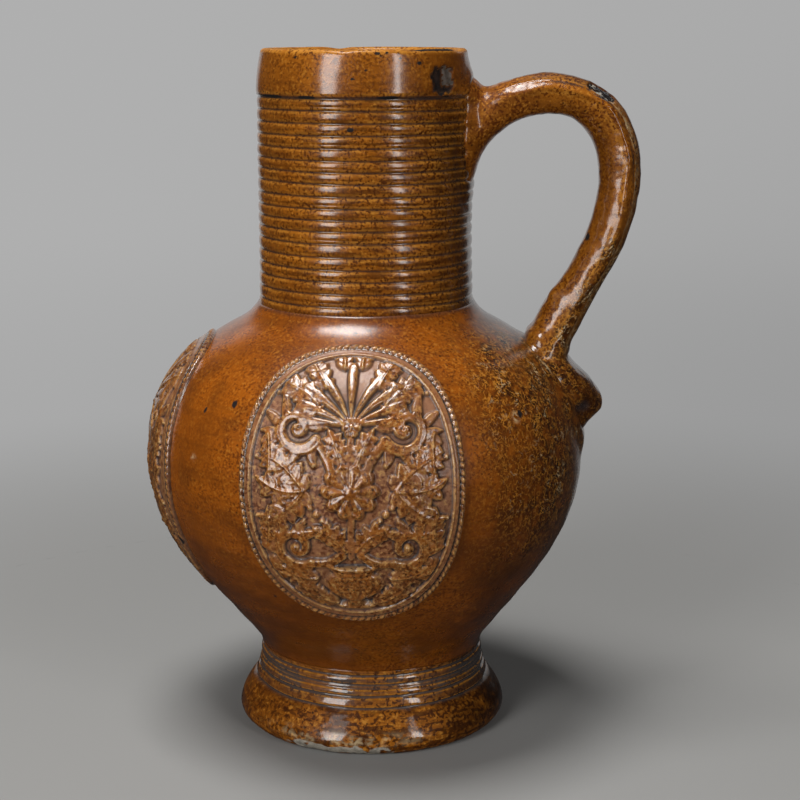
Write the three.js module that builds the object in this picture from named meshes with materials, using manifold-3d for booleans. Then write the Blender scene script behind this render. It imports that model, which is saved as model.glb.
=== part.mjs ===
// A salt-glazed stoneware wine jug with a ribbed neck, a loop handle and three applied oval
// medallions. Millimetres, +Z up. The origin is on the jug's axis at the floor, the handle is at
// +X, and the medallions face -Y (front), about -X (opposite the handle) and +Y (back).
//
// The potter threw the foot, the belly and the neck as three hollow sections and luted them
// together with slip. The handle was pulled and pressed on with its end pinched into a lug, and
// the medallions were pressed in a mould and laid on the belly. Each of these is one solid here.

import * as THREE from "three";
import { mergeVertices, toCreasedNormals } from "three/addons/utils/BufferGeometryUtils.js";
import Module from "manifold-3d";

const wasm = await Module();
wasm.setup();

// Driving dimensions.
const BELLY_AROUND = 32; // facets around the belly
const FOOT_AROUND = 28; // facets around the foot
const NECK_AROUND = 24; // facets around the neck
const CREASE = 0.5; // radians; a sharper edge than this is shaded as an edge
const SEAT_GAP = 0.3; // slip joint between a curved seat and the piece pressed on it

const FOOT_HEIGHT = 28.5; // floor to the seam under the belly
const FOOT_RADIUS = 48.6; // the foot's widest point
const FOOT_WIDEST_Z = 4.5;
const BASE_RADIUS = 46.4; // flat underside
const WAIST_RADIUS = 40.3; // where the belly stands on the foot
const FLOOR_THICKNESS = 9;
const CORDON_COUNT = 4; // turned ridges round the waist of the foot
const CORDON_PITCH = 3.3;
const CORDON_DEPTH = 0.8;
const CORDON_FLARE = 2.6; // how far the lowest ridge stands outside the waist

const BELLY_RADIUS = 76.5;
const EQUATOR_RISE = 69.5; // seam at the foot to the belly's widest point
const SHOULDER_RISE = 55; // widest point to the seam under the neck
const BELLY_WALL = 5.5;

const NECK_RADIUS = 37;
const NECK_WALL = 5.2;
const NECK_FLARE = 1; // how much wider the neck is at its lower end
const RIB_COUNT = 18;
const RIB_PITCH = 3.97;
const RIB_DEPTH = 0.7;
const COLLAR_HEIGHT = 16.04; // plain band above the ribs
const RIM_RADIUS = 35.6;

const HANDLE_REACH = 58.7; // outermost point of the handle from the neck's wall
const HANDLE_DROP = 8.4; // top of the handle's arch below the rim
const HANDLE_WIDTH = 19;
const LUG_RISE = 17; // pinched lug above the belly's widest point
const LUG_PROUD = 10.8; // how far the lug stands out of the belly

const MEDALLION_HALF_WIDTH = 38; // measured along the belly's surface
const MEDALLION_HALF_HEIGHT = 53;
const MEDALLION_RISE = 5.1; // its centre above the belly's widest point
const LOW_LAID = 6.1; // how much lower the one opposite the handle was laid
const EDGE_PROUD = 0.5; // the medallion's thin outer edge
const FIELD_PROUD = 1.4; // its sunk ground
const FRAME_PROUD = 2.6; // the beaded frame round it
const RELIEF_PROUD = 3.6; // the highest point of the relief
const RELIEF_ROOT = 0.7; // how far the relief's forms reach down into the ground
const ROSETTE_RADIUS = 9;
const SCROLL_RADIUS = 7.4;
const SCROLL_HALF_WIDTH = 2.2;
const RAY_HALF_WIDTH = 2.9;

// Where the potter laid the medallions: the angle each faces, and its centre above the belly's
// widest point. The one opposite the handle sits a little low and a little forward.
const MEDALLIONS = [
  { name: "medallion_front", facing: -89.3, rise: MEDALLION_RISE },
  { name: "medallion_opposite_handle", facing: -174, rise: MEDALLION_RISE - LOW_LAID },
  { name: "medallion_back", facing: 90, rise: MEDALLION_RISE },
];

// Heights that follow from them.
const EQUATOR_Z = FOOT_HEIGHT + EQUATOR_RISE;
const NECK_Z = EQUATOR_Z + SHOULDER_RISE;
const COLLAR_Z = NECK_Z + RIB_COUNT * RIB_PITCH;
const RIM_Z = COLLAR_Z + COLLAR_HEIGHT;

const BROWN = { roughness: 0.24, metalness: 0 };
const GLAZE = {
  foot: { color: 0x8a5426, ...BROWN },
  belly: { color: 0x7c4420, ...BROWN },
  neck: { color: 0x7e4a1c, ...BROWN },
  handle: { color: 0x84501f, ...BROWN },
  medallion: { color: 0x74481f, ...BROWN },
};

const point = (r, z) => new THREE.Vector2(r, z);

// A closed profile of (radius, height) points, turned round the vertical axis.
function turned(profile, around) {
  return new THREE.LatheGeometry(profile, around).rotateX(Math.PI / 2);
}

// A geometry as a manifold solid, to cut with.
function solid(geometry) {
  const plain = geometry.clone();
  plain.deleteAttribute("normal");
  plain.deleteAttribute("uv");
  const merged = mergeVertices(plain, 1e-4);
  return new wasm.Manifold(
    new wasm.Mesh({
      numProp: 3,
      vertProperties: new Float32Array(merged.attributes.position.array),
      triVerts: new Uint32Array(merged.index.array),
    }),
  );
}

// A manifold solid as a three.js geometry.
function geometryOf(manifold) {
  const mesh = manifold.getMesh();
  const geometry = new THREE.BufferGeometry();
  geometry.setAttribute("position", new THREE.BufferAttribute(mesh.vertProperties, 3));
  geometry.setIndex(new THREE.BufferAttribute(mesh.triVerts, 1));
  return toCreasedNormals(geometry, CREASE);
}

// A solid through rings of points, each ring given in the same order, closed flat at both ends.
function lofted(positions, sides) {
  const last = positions.length - sides;
  const faces = [];
  for (let ring = 0; ring < last; ring += sides) {
    for (let j = 0; j < sides; j++) {
      const [a, b] = [ring + j, ring + ((j + 1) % sides)];
      faces.push([a, b + sides, b], [a, a + sides, b + sides]);
    }
  }
  for (let j = 1; j < sides - 1; j++) {
    faces.push([0, j, j + 1], [last, last + j + 1, last + j]);
  }
  const geometry = new THREE.BufferGeometry();
  geometry.setAttribute("position", new THREE.Float32BufferAttribute(positions.flat(), 3));
  geometry.setIndex(faces.flat());
  return solid(geometry);
}

// The radius of an outline, a list of (radius, height) points that rises, at a height.
function radiusAt(outline, z) {
  let upper = outline.findIndex((p) => p.y >= z);
  if (upper < 0) upper = outline.length - 1;
  if (upper === 0) upper = 1;
  const [a, b] = [outline[upper - 1], outline[upper]];
  return a.x + ((b.x - a.x) * (z - a.y)) / (b.y - a.y);
}

// An outline moved outwards, square to itself.
function movedOut(outline, distance) {
  return outline.map((p, i) => {
    const before = outline[Math.max(i - 1, 0)];
    const after = outline[Math.min(i + 1, outline.length - 1)];
    const along = after.clone().sub(before).normalize();
    return point(p.x + along.y * distance, p.y - along.x * distance);
  });
}

// What a piece pressed on a turned wall is cut back to: the wall's outline and the slip round it.
function seatBehind(outline, around) {
  const skin = movedOut(outline, SEAT_GAP);
  return solid(turned([point(0, skin[0].y), ...skin, point(0, skin[skin.length - 1].y)], around));
}

// The foot: a thick dish with a rounded base moulding and turned cordons.
function footOutline() {
  const lowestCordonZ = FOOT_HEIGHT - CORDON_COUNT * CORDON_PITCH;
  const cordonRadius = (z) => {
    const down = (FOOT_HEIGHT - z) / (CORDON_COUNT * CORDON_PITCH);
    return WAIST_RADIUS + CORDON_FLARE * down * down;
  };
  const moulding = new THREE.Path();
  moulding.moveTo(BASE_RADIUS, 0);
  moulding.quadraticCurveTo(FOOT_RADIUS - 0.1, FOOT_WIDEST_Z * 0.15, FOOT_RADIUS, FOOT_WIDEST_Z);
  moulding.bezierCurveTo(
    FOOT_RADIUS,
    FOOT_WIDEST_Z + 4,
    cordonRadius(lowestCordonZ) + 3,
    lowestCordonZ - 2.5,
    cordonRadius(lowestCordonZ) - CORDON_DEPTH,
    lowestCordonZ,
  );
  const outline = moulding.getPoints(4);
  for (let k = CORDON_COUNT; k > 0; k--) {
    const z = FOOT_HEIGHT - k * CORDON_PITCH;
    const [low, high] = [z + CORDON_PITCH * 0.3, z + CORDON_PITCH * 0.72];
    outline.push(point(cordonRadius(low), low), point(cordonRadius(high), high));
    if (k > 1) {
      const groove = z + CORDON_PITCH;
      outline.push(point(cordonRadius(groove) - CORDON_DEPTH, groove));
    }
  }
  outline.push(point(WAIST_RADIUS, FOOT_HEIGHT));
  return outline;
}

function foot() {
  const bore = WAIST_RADIUS - BELLY_WALL;
  const cove = 8; // round corner between the bore and the floor
  const inside = new THREE.Path();
  inside.moveTo(bore, FOOT_HEIGHT);
  inside.lineTo(bore, FLOOR_THICKNESS + cove);
  inside.quadraticCurveTo(bore, FLOOR_THICKNESS, bore - cove, FLOOR_THICKNESS);
  const profile = [
    point(0, 0),
    ...footOutline(),
    ...inside.getPoints(4),
    point(0, FLOOR_THICKNESS),
  ];
  return turned(profile, FOOT_AROUND);
}

// The belly's outside, from the seam at the foot to the seam under the neck.
function bellyOutline() {
  const seam = NECK_RADIUS + NECK_FLARE;
  const path = new THREE.Path();
  path.moveTo(WAIST_RADIUS, FOOT_HEIGHT);
  path.quadraticCurveTo(
    WAIST_RADIUS + 0.3,
    FOOT_HEIGHT + 2.7,
    WAIST_RADIUS + 3.2,
    FOOT_HEIGHT + 6.3,
  );
  path.bezierCurveTo(
    WAIST_RADIUS + 18.2,
    FOOT_HEIGHT + 26,
    BELLY_RADIUS,
    EQUATOR_Z - 26,
    BELLY_RADIUS,
    EQUATOR_Z,
  );
  path.bezierCurveTo(
    BELLY_RADIUS,
    EQUATOR_Z + 28,
    seam + 23.5,
    NECK_Z - 15.5,
    seam + 8,
    NECK_Z - 7.2,
  );
  path.quadraticCurveTo(seam + 2.8, NECK_Z - 4.4, seam + 0.3, NECK_Z);
  const [lowCove, lower, upper, highCove] = path.curves;
  return [
    ...lowCove.getPoints(2),
    ...lower.getPoints(8).slice(1),
    ...upper.getPoints(9).slice(1),
    ...highCove.getPoints(3).slice(1),
  ];
}

function belly() {
  const outside = bellyOutline();
  const lowBore = WAIST_RADIUS - BELLY_WALL;
  const highBore = NECK_RADIUS - NECK_WALL;
  const inside = movedOut(outside, -BELLY_WALL)
    .filter((p) => p.y > FOOT_HEIGHT + 7 && p.y < NECK_Z - BELLY_WALL - 4)
    .filter((p) => p.x > Math.max(lowBore, highBore))
    .filter((_, i) => i % 2 === 0);
  inside.unshift(point(lowBore, FOOT_HEIGHT));
  inside.push(point(highBore, NECK_Z - BELLY_WALL - 1.5), point(highBore, NECK_Z));
  return turned([...outside, ...inside.reverse(), outside[0].clone()], BELLY_AROUND);
}

// The neck's outside, without the rib grooves: a tall drum, a little wider towards the belly.
function neckRadius(z) {
  const share = (z - NECK_Z) / (COLLAR_Z - NECK_Z);
  return NECK_RADIUS + NECK_FLARE * (1 - share);
}

function neckOutline() {
  const outline = [];
  for (let k = 0; k < RIB_COUNT; k++) {
    const z = NECK_Z + k * RIB_PITCH;
    if (k > 0) outline.push(point(neckRadius(z) - RIB_DEPTH, z));
    else outline.push(point(neckRadius(z) - 0.2, z));
    for (const share of [0.28, 0.74]) {
      outline.push(point(neckRadius(z + share * RIB_PITCH), z + share * RIB_PITCH));
    }
  }
  outline.push(point(NECK_RADIUS - RIB_DEPTH, COLLAR_Z));
  const collar = new THREE.Path();
  collar.moveTo(NECK_RADIUS + 0.2, COLLAR_Z + 1);
  collar.quadraticCurveTo(NECK_RADIUS + 0.2, COLLAR_Z + 6, RIM_RADIUS + 0.1, RIM_Z - 1.6);
  return [...outline, ...collar.getPoints(3)];
}

function neck() {
  const bore = NECK_RADIUS - NECK_WALL;
  const lip = new THREE.Path();
  lip.moveTo(RIM_RADIUS, RIM_Z - 0.8);
  lip.quadraticCurveTo(RIM_RADIUS - 0.2, RIM_Z, RIM_RADIUS - 1.7, RIM_Z);
  lip.quadraticCurveTo(bore + 0.3, RIM_Z, bore, RIM_Z - 2.4);
  const outside = neckOutline();
  const profile = [...outside, ...lip.getPoints(2), point(bore, NECK_Z), outside[0].clone()];
  return turned(profile, NECK_AROUND);
}

// A plain drum with the neck's size, for the handle's seat.
function neckDrum() {
  const steps = 12;
  return Array.from({ length: steps + 1 }, (_, i) => {
    const z = NECK_Z + ((COLLAR_Z - NECK_Z) * i) / steps;
    return point(neckRadius(z), z);
  }).concat([point(NECK_RADIUS + 0.2, COLLAR_Z + 1), point(RIM_RADIUS + 0.1, RIM_Z - 1.6)]);
}

// The handle as stations between an outer and an inner rail in the XZ plane. A station's width
// is a share of the handle's, and pinch narrows its outer side. The first stations lie inside
// the neck's wall and the last inside the belly's, where the seats cut them off.
function handleStations() {
  const neckX = NECK_RADIUS;
  const outX = NECK_RADIUS + HANDLE_REACH;
  const archZ = RIM_Z - HANDLE_DROP;
  const skin = bellyOutline();
  const lugZ = EQUATOR_Z + LUG_RISE;
  const onBelly = (rise, proud) => [radiusAt(skin, lugZ + rise) + proud, lugZ + rise];
  const station = (outer, inner, width, pinch = 0) => ({ outer, inner, width, pinch });
  return [
    station([neckX - 4.5, archZ + 2.9], [neckX - 4.5, archZ - 47.6], 1.4),
    station([neckX + 0.9, archZ - 1.9], [neckX + 0.5, archZ - 36.6], 1.3),
    station([neckX + 4.9, archZ - 4.6], [neckX + 4.6, archZ - 25.8], 1.15),
    station([neckX + 11.4, archZ - 2.6], [neckX + 11.6, archZ - 18.9], 1.05),
    station([neckX + 20, archZ - 0.5], [neckX + 20.5, archZ - 15], 1),
    station([neckX + 29, archZ], [neckX + 28.5, archZ - 14.3], 1),
    station([outX - 17.9, archZ - 3], [outX - 23.9, archZ - 15.7], 1),
    station([outX - 7.6, archZ - 10.5], [outX - 18.7, archZ - 20.9], 1),
    station([outX - 1.7, archZ - 22.5], [outX - 15.8, archZ - 27.8], 1),
    station([outX, archZ - 34], [outX - 14.9, archZ - 36.4], 1),
    station([outX - 1.4, archZ - 46.2], [outX - 16.2, archZ - 45], 1),
    station([outX - 5.4, archZ - 58.8], [outX - 19.1, archZ - 55], 1),
    station([outX - 12.8, archZ - 72.8], [outX - 24.5, archZ - 66.2], 0.98),
    station(onBelly(31.5, 31.8), onBelly(37.9, 24.3), 1),
    station(onBelly(23.8, 15.4), onBelly(30.4, 12.2), 1.1),
    station(onBelly(21, 11.4), onBelly(27.6, 5.6), 1.25),
    station(onBelly(19, LUG_PROUD - 2.1), onBelly(21, -8), 1.35),
    station(onBelly(15.5, LUG_PROUD - 2.8), onBelly(12, -12), 1.35, 0.1),
    station(onBelly(10.5, LUG_PROUD - 0.6), onBelly(4, -12), 1.3, 0.3),
    station(onBelly(4.4, LUG_PROUD), onBelly(-2, -12), 1.15, 0.5),
    station(onBelly(0.6, LUG_PROUD - 1.4), onBelly(-5.5, -11), 1, 0.55),
    station(onBelly(-3.4, LUG_PROUD - 5.6), onBelly(-9.5, -10), 0.85, 0.5),
    station(onBelly(-8.6, 0), onBelly(-13, -8), 0.6, 0.3),
  ];
}

// One cross-section of the handle: a strap with well rounded edges.
function handleSection({ outer, inner, width, pinch }, sides) {
  const middle = new THREE.Vector2().addVectors(outer, inner).multiplyScalar(0.5);
  const half = new THREE.Vector2().subVectors(outer, inner).multiplyScalar(0.5);
  const squareness = 0.86; // 1 is an ellipse, less is nearer to a rectangle
  return Array.from({ length: sides }, (_, i) => {
    const turn = (2 * Math.PI * i) / sides;
    const across = Math.sign(Math.cos(turn)) * Math.abs(Math.cos(turn)) ** squareness;
    const aside = Math.sign(Math.sin(turn)) * Math.abs(Math.sin(turn)) ** squareness;
    const narrowing = 1 - pinch * Math.max(across, 0);
    const y = (HANDLE_WIDTH / 2) * width * aside * narrowing;
    return [middle.x + half.x * across, y, middle.y + half.y * across];
  });
}

function handle() {
  const sides = 12;
  const rings = 38;
  const stations = handleStations();
  const rail = (pick) => new THREE.CatmullRomCurve3(stations.map(pick), false, "centripetal");
  const outer = rail((s) => new THREE.Vector3(s.outer[0], s.outer[1], s.width));
  const inner = rail((s) => new THREE.Vector3(s.inner[0], s.inner[1], s.pinch));
  const positions = [];
  for (let i = 0; i <= rings; i++) {
    const [o, n] = [outer.getPoint(i / rings), inner.getPoint(i / rings)];
    const section = { outer: point(o.x, o.y), inner: point(n.x, n.y), width: o.z, pinch: n.z };
    positions.push(...handleSection(section, sides));
  }
  const pulled = lofted(positions, sides);
  const neckSeat = seatBehind(neckDrum(), NECK_AROUND);
  const bellySeat = seatBehind(bellyOutline(), BELLY_AROUND);
  return geometryOf(pulled.subtract(neckSeat).subtract(bellySeat));
}

// The medallion's border, from its edge inwards, as [share of the half size, height]: a thin
// edge, the beaded frame, a groove, a plain fillet and the ground.
const BORDER = [
  [1, EDGE_PROUD],
  [0.962, FRAME_PROUD],
  [0.925, FIELD_PROUD],
  [0.895, FRAME_PROUD - 0.4],
  [0.865, FIELD_PROUD],
];

// A bar's cross-section, as [share of its half width, share of its height]: a flat top with sloping
// sides for thin forms and a round back for the urn.
const FLAT_TOP = [
  [-1, 0],
  [-0.45, 1],
  [0.45, 1],
  [1, 0],
];
const ROUND_BACK = [
  [-1, 0],
  [-0.65, 0.78],
  [0, 1],
  [0.65, 0.78],
  [1, 0],
];

// One raised form of the relief, as a low bar that follows a path on the medallion's ground.
function bar({ path, halfWidths, proud, section }, place) {
  const foot = FIELD_PROUD - RELIEF_ROOT;
  const positions = path.flatMap((on, i) => {
    const before = path[Math.max(i - 1, 0)];
    const after = path[Math.min(i + 1, path.length - 1)];
    const along = after.clone().sub(before).normalize();
    return section.map(([share, height]) => {
      const aside = share * halfWidths[i];
      const up = foot + height * (proud - foot);
      return place(on.x - along.y * aside, on.y + along.x * aside, up);
    });
  });
  return lofted(positions, section.length);
}

// The rosette in the middle: a low star of six petals.
function rosette(place) {
  const points = 12;
  const ring = (height, tip, notch) =>
    Array.from({ length: points }, (_, i) => {
      const turn = (2 * Math.PI * i) / points;
      const radius = ROSETTE_RADIUS * (i % 2 ? notch : tip);
      return place(radius * Math.cos(turn), radius * Math.sin(turn), height);
    });
  const foot = FIELD_PROUD - RELIEF_ROOT;
  const rings = [
    ...ring(RELIEF_PROUD, 0.26, 0.2),
    ...ring(RELIEF_PROUD - 0.6, 0.86, 0.42),
    ...ring(foot, 1.06, 0.62),
  ];
  return lofted(rings, points);
}

// A place on the medallion's ground, as shares of its half width and half height.
const onOval = (across, up) => point(across * MEDALLION_HALF_WIDTH, up * MEDALLION_HALF_HEIGHT);

// A scroll: a stem that winds in on its own centre.
function scroll(root, centre, start) {
  const windings = 1.05;
  const steps = 8;
  const path = [root];
  const halfWidths = [SCROLL_HALF_WIDTH * 0.6];
  for (let i = 0; i <= steps; i++) {
    const share = i / steps;
    const turn = THREE.MathUtils.degToRad(start) + share * windings * 2 * Math.PI;
    const radius = SCROLL_RADIUS * (1 - 0.74 * share);
    path.push(point(Math.cos(turn), Math.sin(turn)).multiplyScalar(radius).add(centre));
    halfWidths.push(SCROLL_HALF_WIDTH * (1 - 0.27 * share));
  }
  return { path, halfWidths, proud: RELIEF_PROUD - 0.2, section: FLAT_TOP };
}

// A ray of the palmette at the top, or of the spray on each side.
function ray(root, facing, length) {
  const turn = THREE.MathUtils.degToRad(facing);
  const along = point(Math.cos(turn), Math.sin(turn));
  return {
    path: [0, 0.66, 1].map((share) => along.clone().multiplyScalar(share * length).add(root)),
    halfWidths: [0.4, 1, 0.3].map((share) => share * RAY_HALF_WIDTH),
    proud: RELIEF_PROUD - 0.3,
    section: FLAT_TOP,
  };
}

// The urn at the foot of the ornament, as [height, half width] in shares of the medallion's.
const URN = [
  [-0.81, 0.16],
  [-0.765, 0.145],
  [-0.725, 0.07],
  [-0.605, 0.25],
  [-0.48, 0.18],
  [-0.415, 0.22],
];

// The ornament's bars: those on the upright middle line, then a right half and its mirror image.
function ornament() {
  const urn = {
    path: URN.map(([up]) => onOval(0, up)),
    halfWidths: URN.map(([, half]) => half * MEDALLION_HALF_WIDTH),
    proud: RELIEF_PROUD,
    section: ROUND_BACK,
  };
  const palmette = onOval(0, 0.38);
  const spray = onOval(0.42, 0);
  const middle = [urn, ray(palmette, 90, MEDALLION_HALF_HEIGHT * 0.4)];
  const right = [
    scroll(onOval(0.195, -0.45), onOval(0.465, -0.36), 232),
    scroll(onOval(0.16, 0.15), onOval(0.455, 0.36), 208),
    ray(palmette, 58, MEDALLION_HALF_HEIGHT * 0.37),
    ...[-50, 0, 50].map((facing) => ray(spray, facing, MEDALLION_HALF_WIDTH * 0.37)),
  ];
  const left = right.map((form) => ({
    ...form,
    path: form.path.map((on) => point(-on.x, on.y)),
  }));
  return [...middle, ...right, ...left];
}

// A place on a medallion: lengths across it and up it along the belly's skin from its centre,
// and how far it stands proud of the skin.
function placeOnBelly(facing, rise) {
  const skin = bellyOutline();
  const lengths = [0];
  skin.slice(1).forEach((p, i) => lengths.push(lengths[i] + p.distanceTo(skin[i])));
  const upper = (values, value) => Math.max(1, values.findIndex((v) => v >= value));
  const heights = skin.map((p) => p.y);
  const at = upper(heights, EQUATOR_Z + rise);
  const share = (EQUATOR_Z + rise - heights[at - 1]) / (heights[at] - heights[at - 1]);
  const centre = lengths[at - 1] + share * (lengths[at] - lengths[at - 1]);
  return (across, up, proud) => {
    const i = upper(lengths, centre + up);
    const along = (centre + up - lengths[i - 1]) / (lengths[i] - lengths[i - 1]);
    const on = skin[i - 1].clone().lerp(skin[i], along);
    const slope = skin[i].clone().sub(skin[i - 1]).normalize();
    const turn = THREE.MathUtils.degToRad(facing) + across / on.x;
    const r = on.x + slope.y * proud;
    return [r * Math.cos(turn), r * Math.sin(turn), on.y - slope.x * proud];
  };
}

// A moulded oval pad laid on the belly, built as rings from its centre out over its edge and
// back under the skin, with the ornament raised on it and the belly's seat cut out of its back.
function medallion({ facing, rise }) {
  const place = placeOnBelly(facing, rise);
  const sectors = 24;
  const buried = -2.5;
  const ground = [0.02, 0.36, 0.62].map((share) => [share, FIELD_PROUD]);
  const rings = [...ground, ...BORDER.toReversed(), [1, buried], [0.02, buried]];
  const positions = rings.flatMap(([share, height]) =>
    Array.from({ length: sectors }, (_, k) => {
      const turn = (2 * Math.PI * k) / sectors;
      const across = MEDALLION_HALF_WIDTH * share * Math.cos(turn);
      const up = MEDALLION_HALF_HEIGHT * share * Math.sin(turn);
      return place(across, up, height);
    }),
  );
  const forms = [rosette(place), ...ornament().map((form) => bar(form, place))];
  const moulded = forms.reduce((whole, form) => whole.add(form), lofted(positions, sectors));
  return geometryOf(moulded.subtract(seatBehind(bellyOutline(), BELLY_AROUND)));
}

function piece(name, geometry, glaze) {
  const mesh = new THREE.Mesh(geometry, new THREE.MeshStandardMaterial(glaze));
  mesh.name = name;
  return mesh;
}

const jug = new THREE.Group();
jug.add(
  piece("foot", foot(), GLAZE.foot),
  piece("belly", belly(), GLAZE.belly),
  piece("neck", neck(), GLAZE.neck),
  piece("handle", handle(), GLAZE.handle),
  ...MEDALLIONS.map((laid) => piece(laid.name, medallion(laid), GLAZE.medallion)),
);

export default jug;
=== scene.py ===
"""Looks of a salt-glazed stoneware wine jug with a ribbed neck, a loop handle and oval medallions.

Every length in the classes below is in millimetres and turns into metres when a mesh is made. The
jug stands on the floor with its axis upright, its handle towards +X and its front medallion
towards -Y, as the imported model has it.
"""

import logging
import math
from dataclasses import dataclass, field
from enum import Enum
from functools import reduce

import bpy
import numpy as np
from mathutils import Euler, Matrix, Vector
from mathutils.bvhtree import BVHTree

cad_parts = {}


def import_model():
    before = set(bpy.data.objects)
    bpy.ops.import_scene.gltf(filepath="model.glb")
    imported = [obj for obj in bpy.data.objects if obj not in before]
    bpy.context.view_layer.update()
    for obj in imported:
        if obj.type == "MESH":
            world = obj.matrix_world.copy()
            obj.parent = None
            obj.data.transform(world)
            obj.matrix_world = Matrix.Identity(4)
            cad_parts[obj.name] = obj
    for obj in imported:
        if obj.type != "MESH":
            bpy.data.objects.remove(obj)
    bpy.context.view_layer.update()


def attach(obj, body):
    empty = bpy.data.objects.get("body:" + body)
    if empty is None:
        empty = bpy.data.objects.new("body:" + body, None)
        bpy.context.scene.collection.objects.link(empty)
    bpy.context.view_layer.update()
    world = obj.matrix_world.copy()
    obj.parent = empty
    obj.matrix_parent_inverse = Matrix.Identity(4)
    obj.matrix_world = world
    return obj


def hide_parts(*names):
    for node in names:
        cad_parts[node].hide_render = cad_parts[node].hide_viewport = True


LOG = logging.getLogger("wine_jug")
METRE = 0.001
CAMERA_TURN = 3.63

Array = np.ndarray
Colour = tuple[float, float, float]
Place = tuple[float, float, float]
Mark = tuple[float, float, float]
Socket = bpy.types.NodeSocket


def smooth(low: float, high: float, value: Array) -> Array:
    """A soft step.

    Args:
        low: where the step starts.
        high: where the step has reached 1; it may be less than low for a falling step.
        value: the numbers to place on the step.

    Returns:
        Numbers from 0 to 1.
    """
    share = np.clip((value - low) / (high - low), 0.0, 1.0)
    return share * share * (3.0 - 2.0 * share)


def hump(centre: float, width: float, value: Array) -> Array:
    """A soft hump of height 1 round a centre."""
    return np.exp(-(((value - centre) / width) ** 2))


def bezier(controls: list[tuple[float, float]], steps: int) -> Array:
    """Points of a Bezier curve.

    Args:
        controls: three or four control points.
        steps: how many points, both ends among them.

    Returns:
        An array of steps rows and two columns.
    """
    t = np.linspace(0.0, 1.0, steps)[:, None]
    points = [np.repeat(np.array([c], float), steps, axis=0) for c in controls]
    while len(points) > 1:
        points = [a * (1 - t) + b * t for a, b in zip(points[:-1], points[1:])]
    return points[0]


def running(steps: Array) -> Array:
    """The running total of steps, from 0."""
    return np.concatenate([[0.0], np.cumsum(steps)])


def lengths_along(path: Array) -> Array:
    """How far along a path each of its points lies."""
    return running(np.linalg.norm(np.diff(path, axis=0), axis=1))


def evenly(path: Array, count: int) -> Array:
    """The same path with its points at equal spacing."""
    length = lengths_along(path)
    places = np.linspace(0.0, length[-1], count)
    return np.stack([np.interp(places, length, column) for column in path.T], axis=1)


def spline(knots: Array, count: int) -> Array:
    """A smooth curve through knots.

    Args:
        knots: the points it goes through, one a row.
        count: how many points to give back.

    Returns:
        Points along the curve, both ends among them.
    """
    times = running(np.linalg.norm(np.diff(knots, axis=0), axis=1) ** 0.5)
    slopes = np.gradient(knots, times, axis=0)
    where = np.linspace(0.0, times[-1], count)
    index = np.clip(np.searchsorted(times, where, side="right") - 1, 0, len(knots) - 2)
    span = (times[index + 1] - times[index])[:, None]
    t = (where - times[index])[:, None] / span
    start = (2 * t**3 - 3 * t**2 + 1) * knots[index] + (t**3 - 2 * t**2 + t) * span * slopes[index]
    end = (3 * t**2 - 2 * t**3) * knots[index + 1] + (t**3 - t**2) * span * slopes[index + 1]
    return start + end


def blurred(raster: Array, radius: float) -> Array:
    """A raster made softer by a bell-shaped blur of that radius in cells."""
    reach = max(1, int(round(radius * 2.5)))
    weights = np.exp(-0.5 * (np.arange(-reach, reach + 1) / radius) ** 2)
    weights /= weights.sum()
    for axis in (0, 1):
        raster = sum(w * np.roll(raster, shift, axis) for w, shift in zip(weights, range(-reach, reach + 1)))
    return raster


def around_axis(radius: Array | float, turn: Array, z: Array) -> Array:
    """Points at radii, angles and heights, one a row."""
    return np.stack([radius * np.cos(turn), radius * np.sin(turn), z], -1).reshape(-1, 3)


def away(turn: Array, centre: float) -> Array:
    """Angles from a centre, brought within half a turn."""
    return (turn - centre + math.pi) % (2 * math.pi) - math.pi


def sector(turn: Array, facing: float, reach: float, sharpness: int = 4) -> Array:
    """A share that is 1 where a wall faces one way and fades to both sides.

    Args:
        turn: angles round the jug in radians.
        facing: the middle of the sector in degrees.
        reach: how far it goes to each side in radians.
        sharpness: an even power, 2 for a soft fade or 4 for a flat top.

    Returns:
        Numbers from 0 to 1.
    """
    return np.exp(-((away(turn, math.radians(facing)) / reach) ** sharpness))


def spot(across: Array, up: Array, half_width: float, half_height: float) -> Array:
    """A soft oval mark of strength 1, from the lengths to its middle across and up."""
    return np.exp(-((across / half_width) ** 2 + (up / half_height) ** 2))


def reach_from(points: Array, place: Place, size: Place) -> Array:
    """How far points are from a place, squared and in shares of a size along each axis."""
    return (((points - np.array(place)) / np.array(size)) ** 2).sum(1)


def view_turn(pixel: float, middle: float, radius: float) -> float:
    """The angle round the jug of a place on a turned wall.

    Args:
        pixel: how far across the front picture the place is.
        middle: where the wall's axis is in that picture.
        radius: the wall's half width in it.

    Returns:
        The angle from +X in radians, for the half of the wall that faces the camera.
    """
    sideways = max(-1.0, min(1.0, (pixel - middle) / radius))
    return math.radians(CAMERA_TURN - 90.0) + math.asin(sideways)


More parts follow.
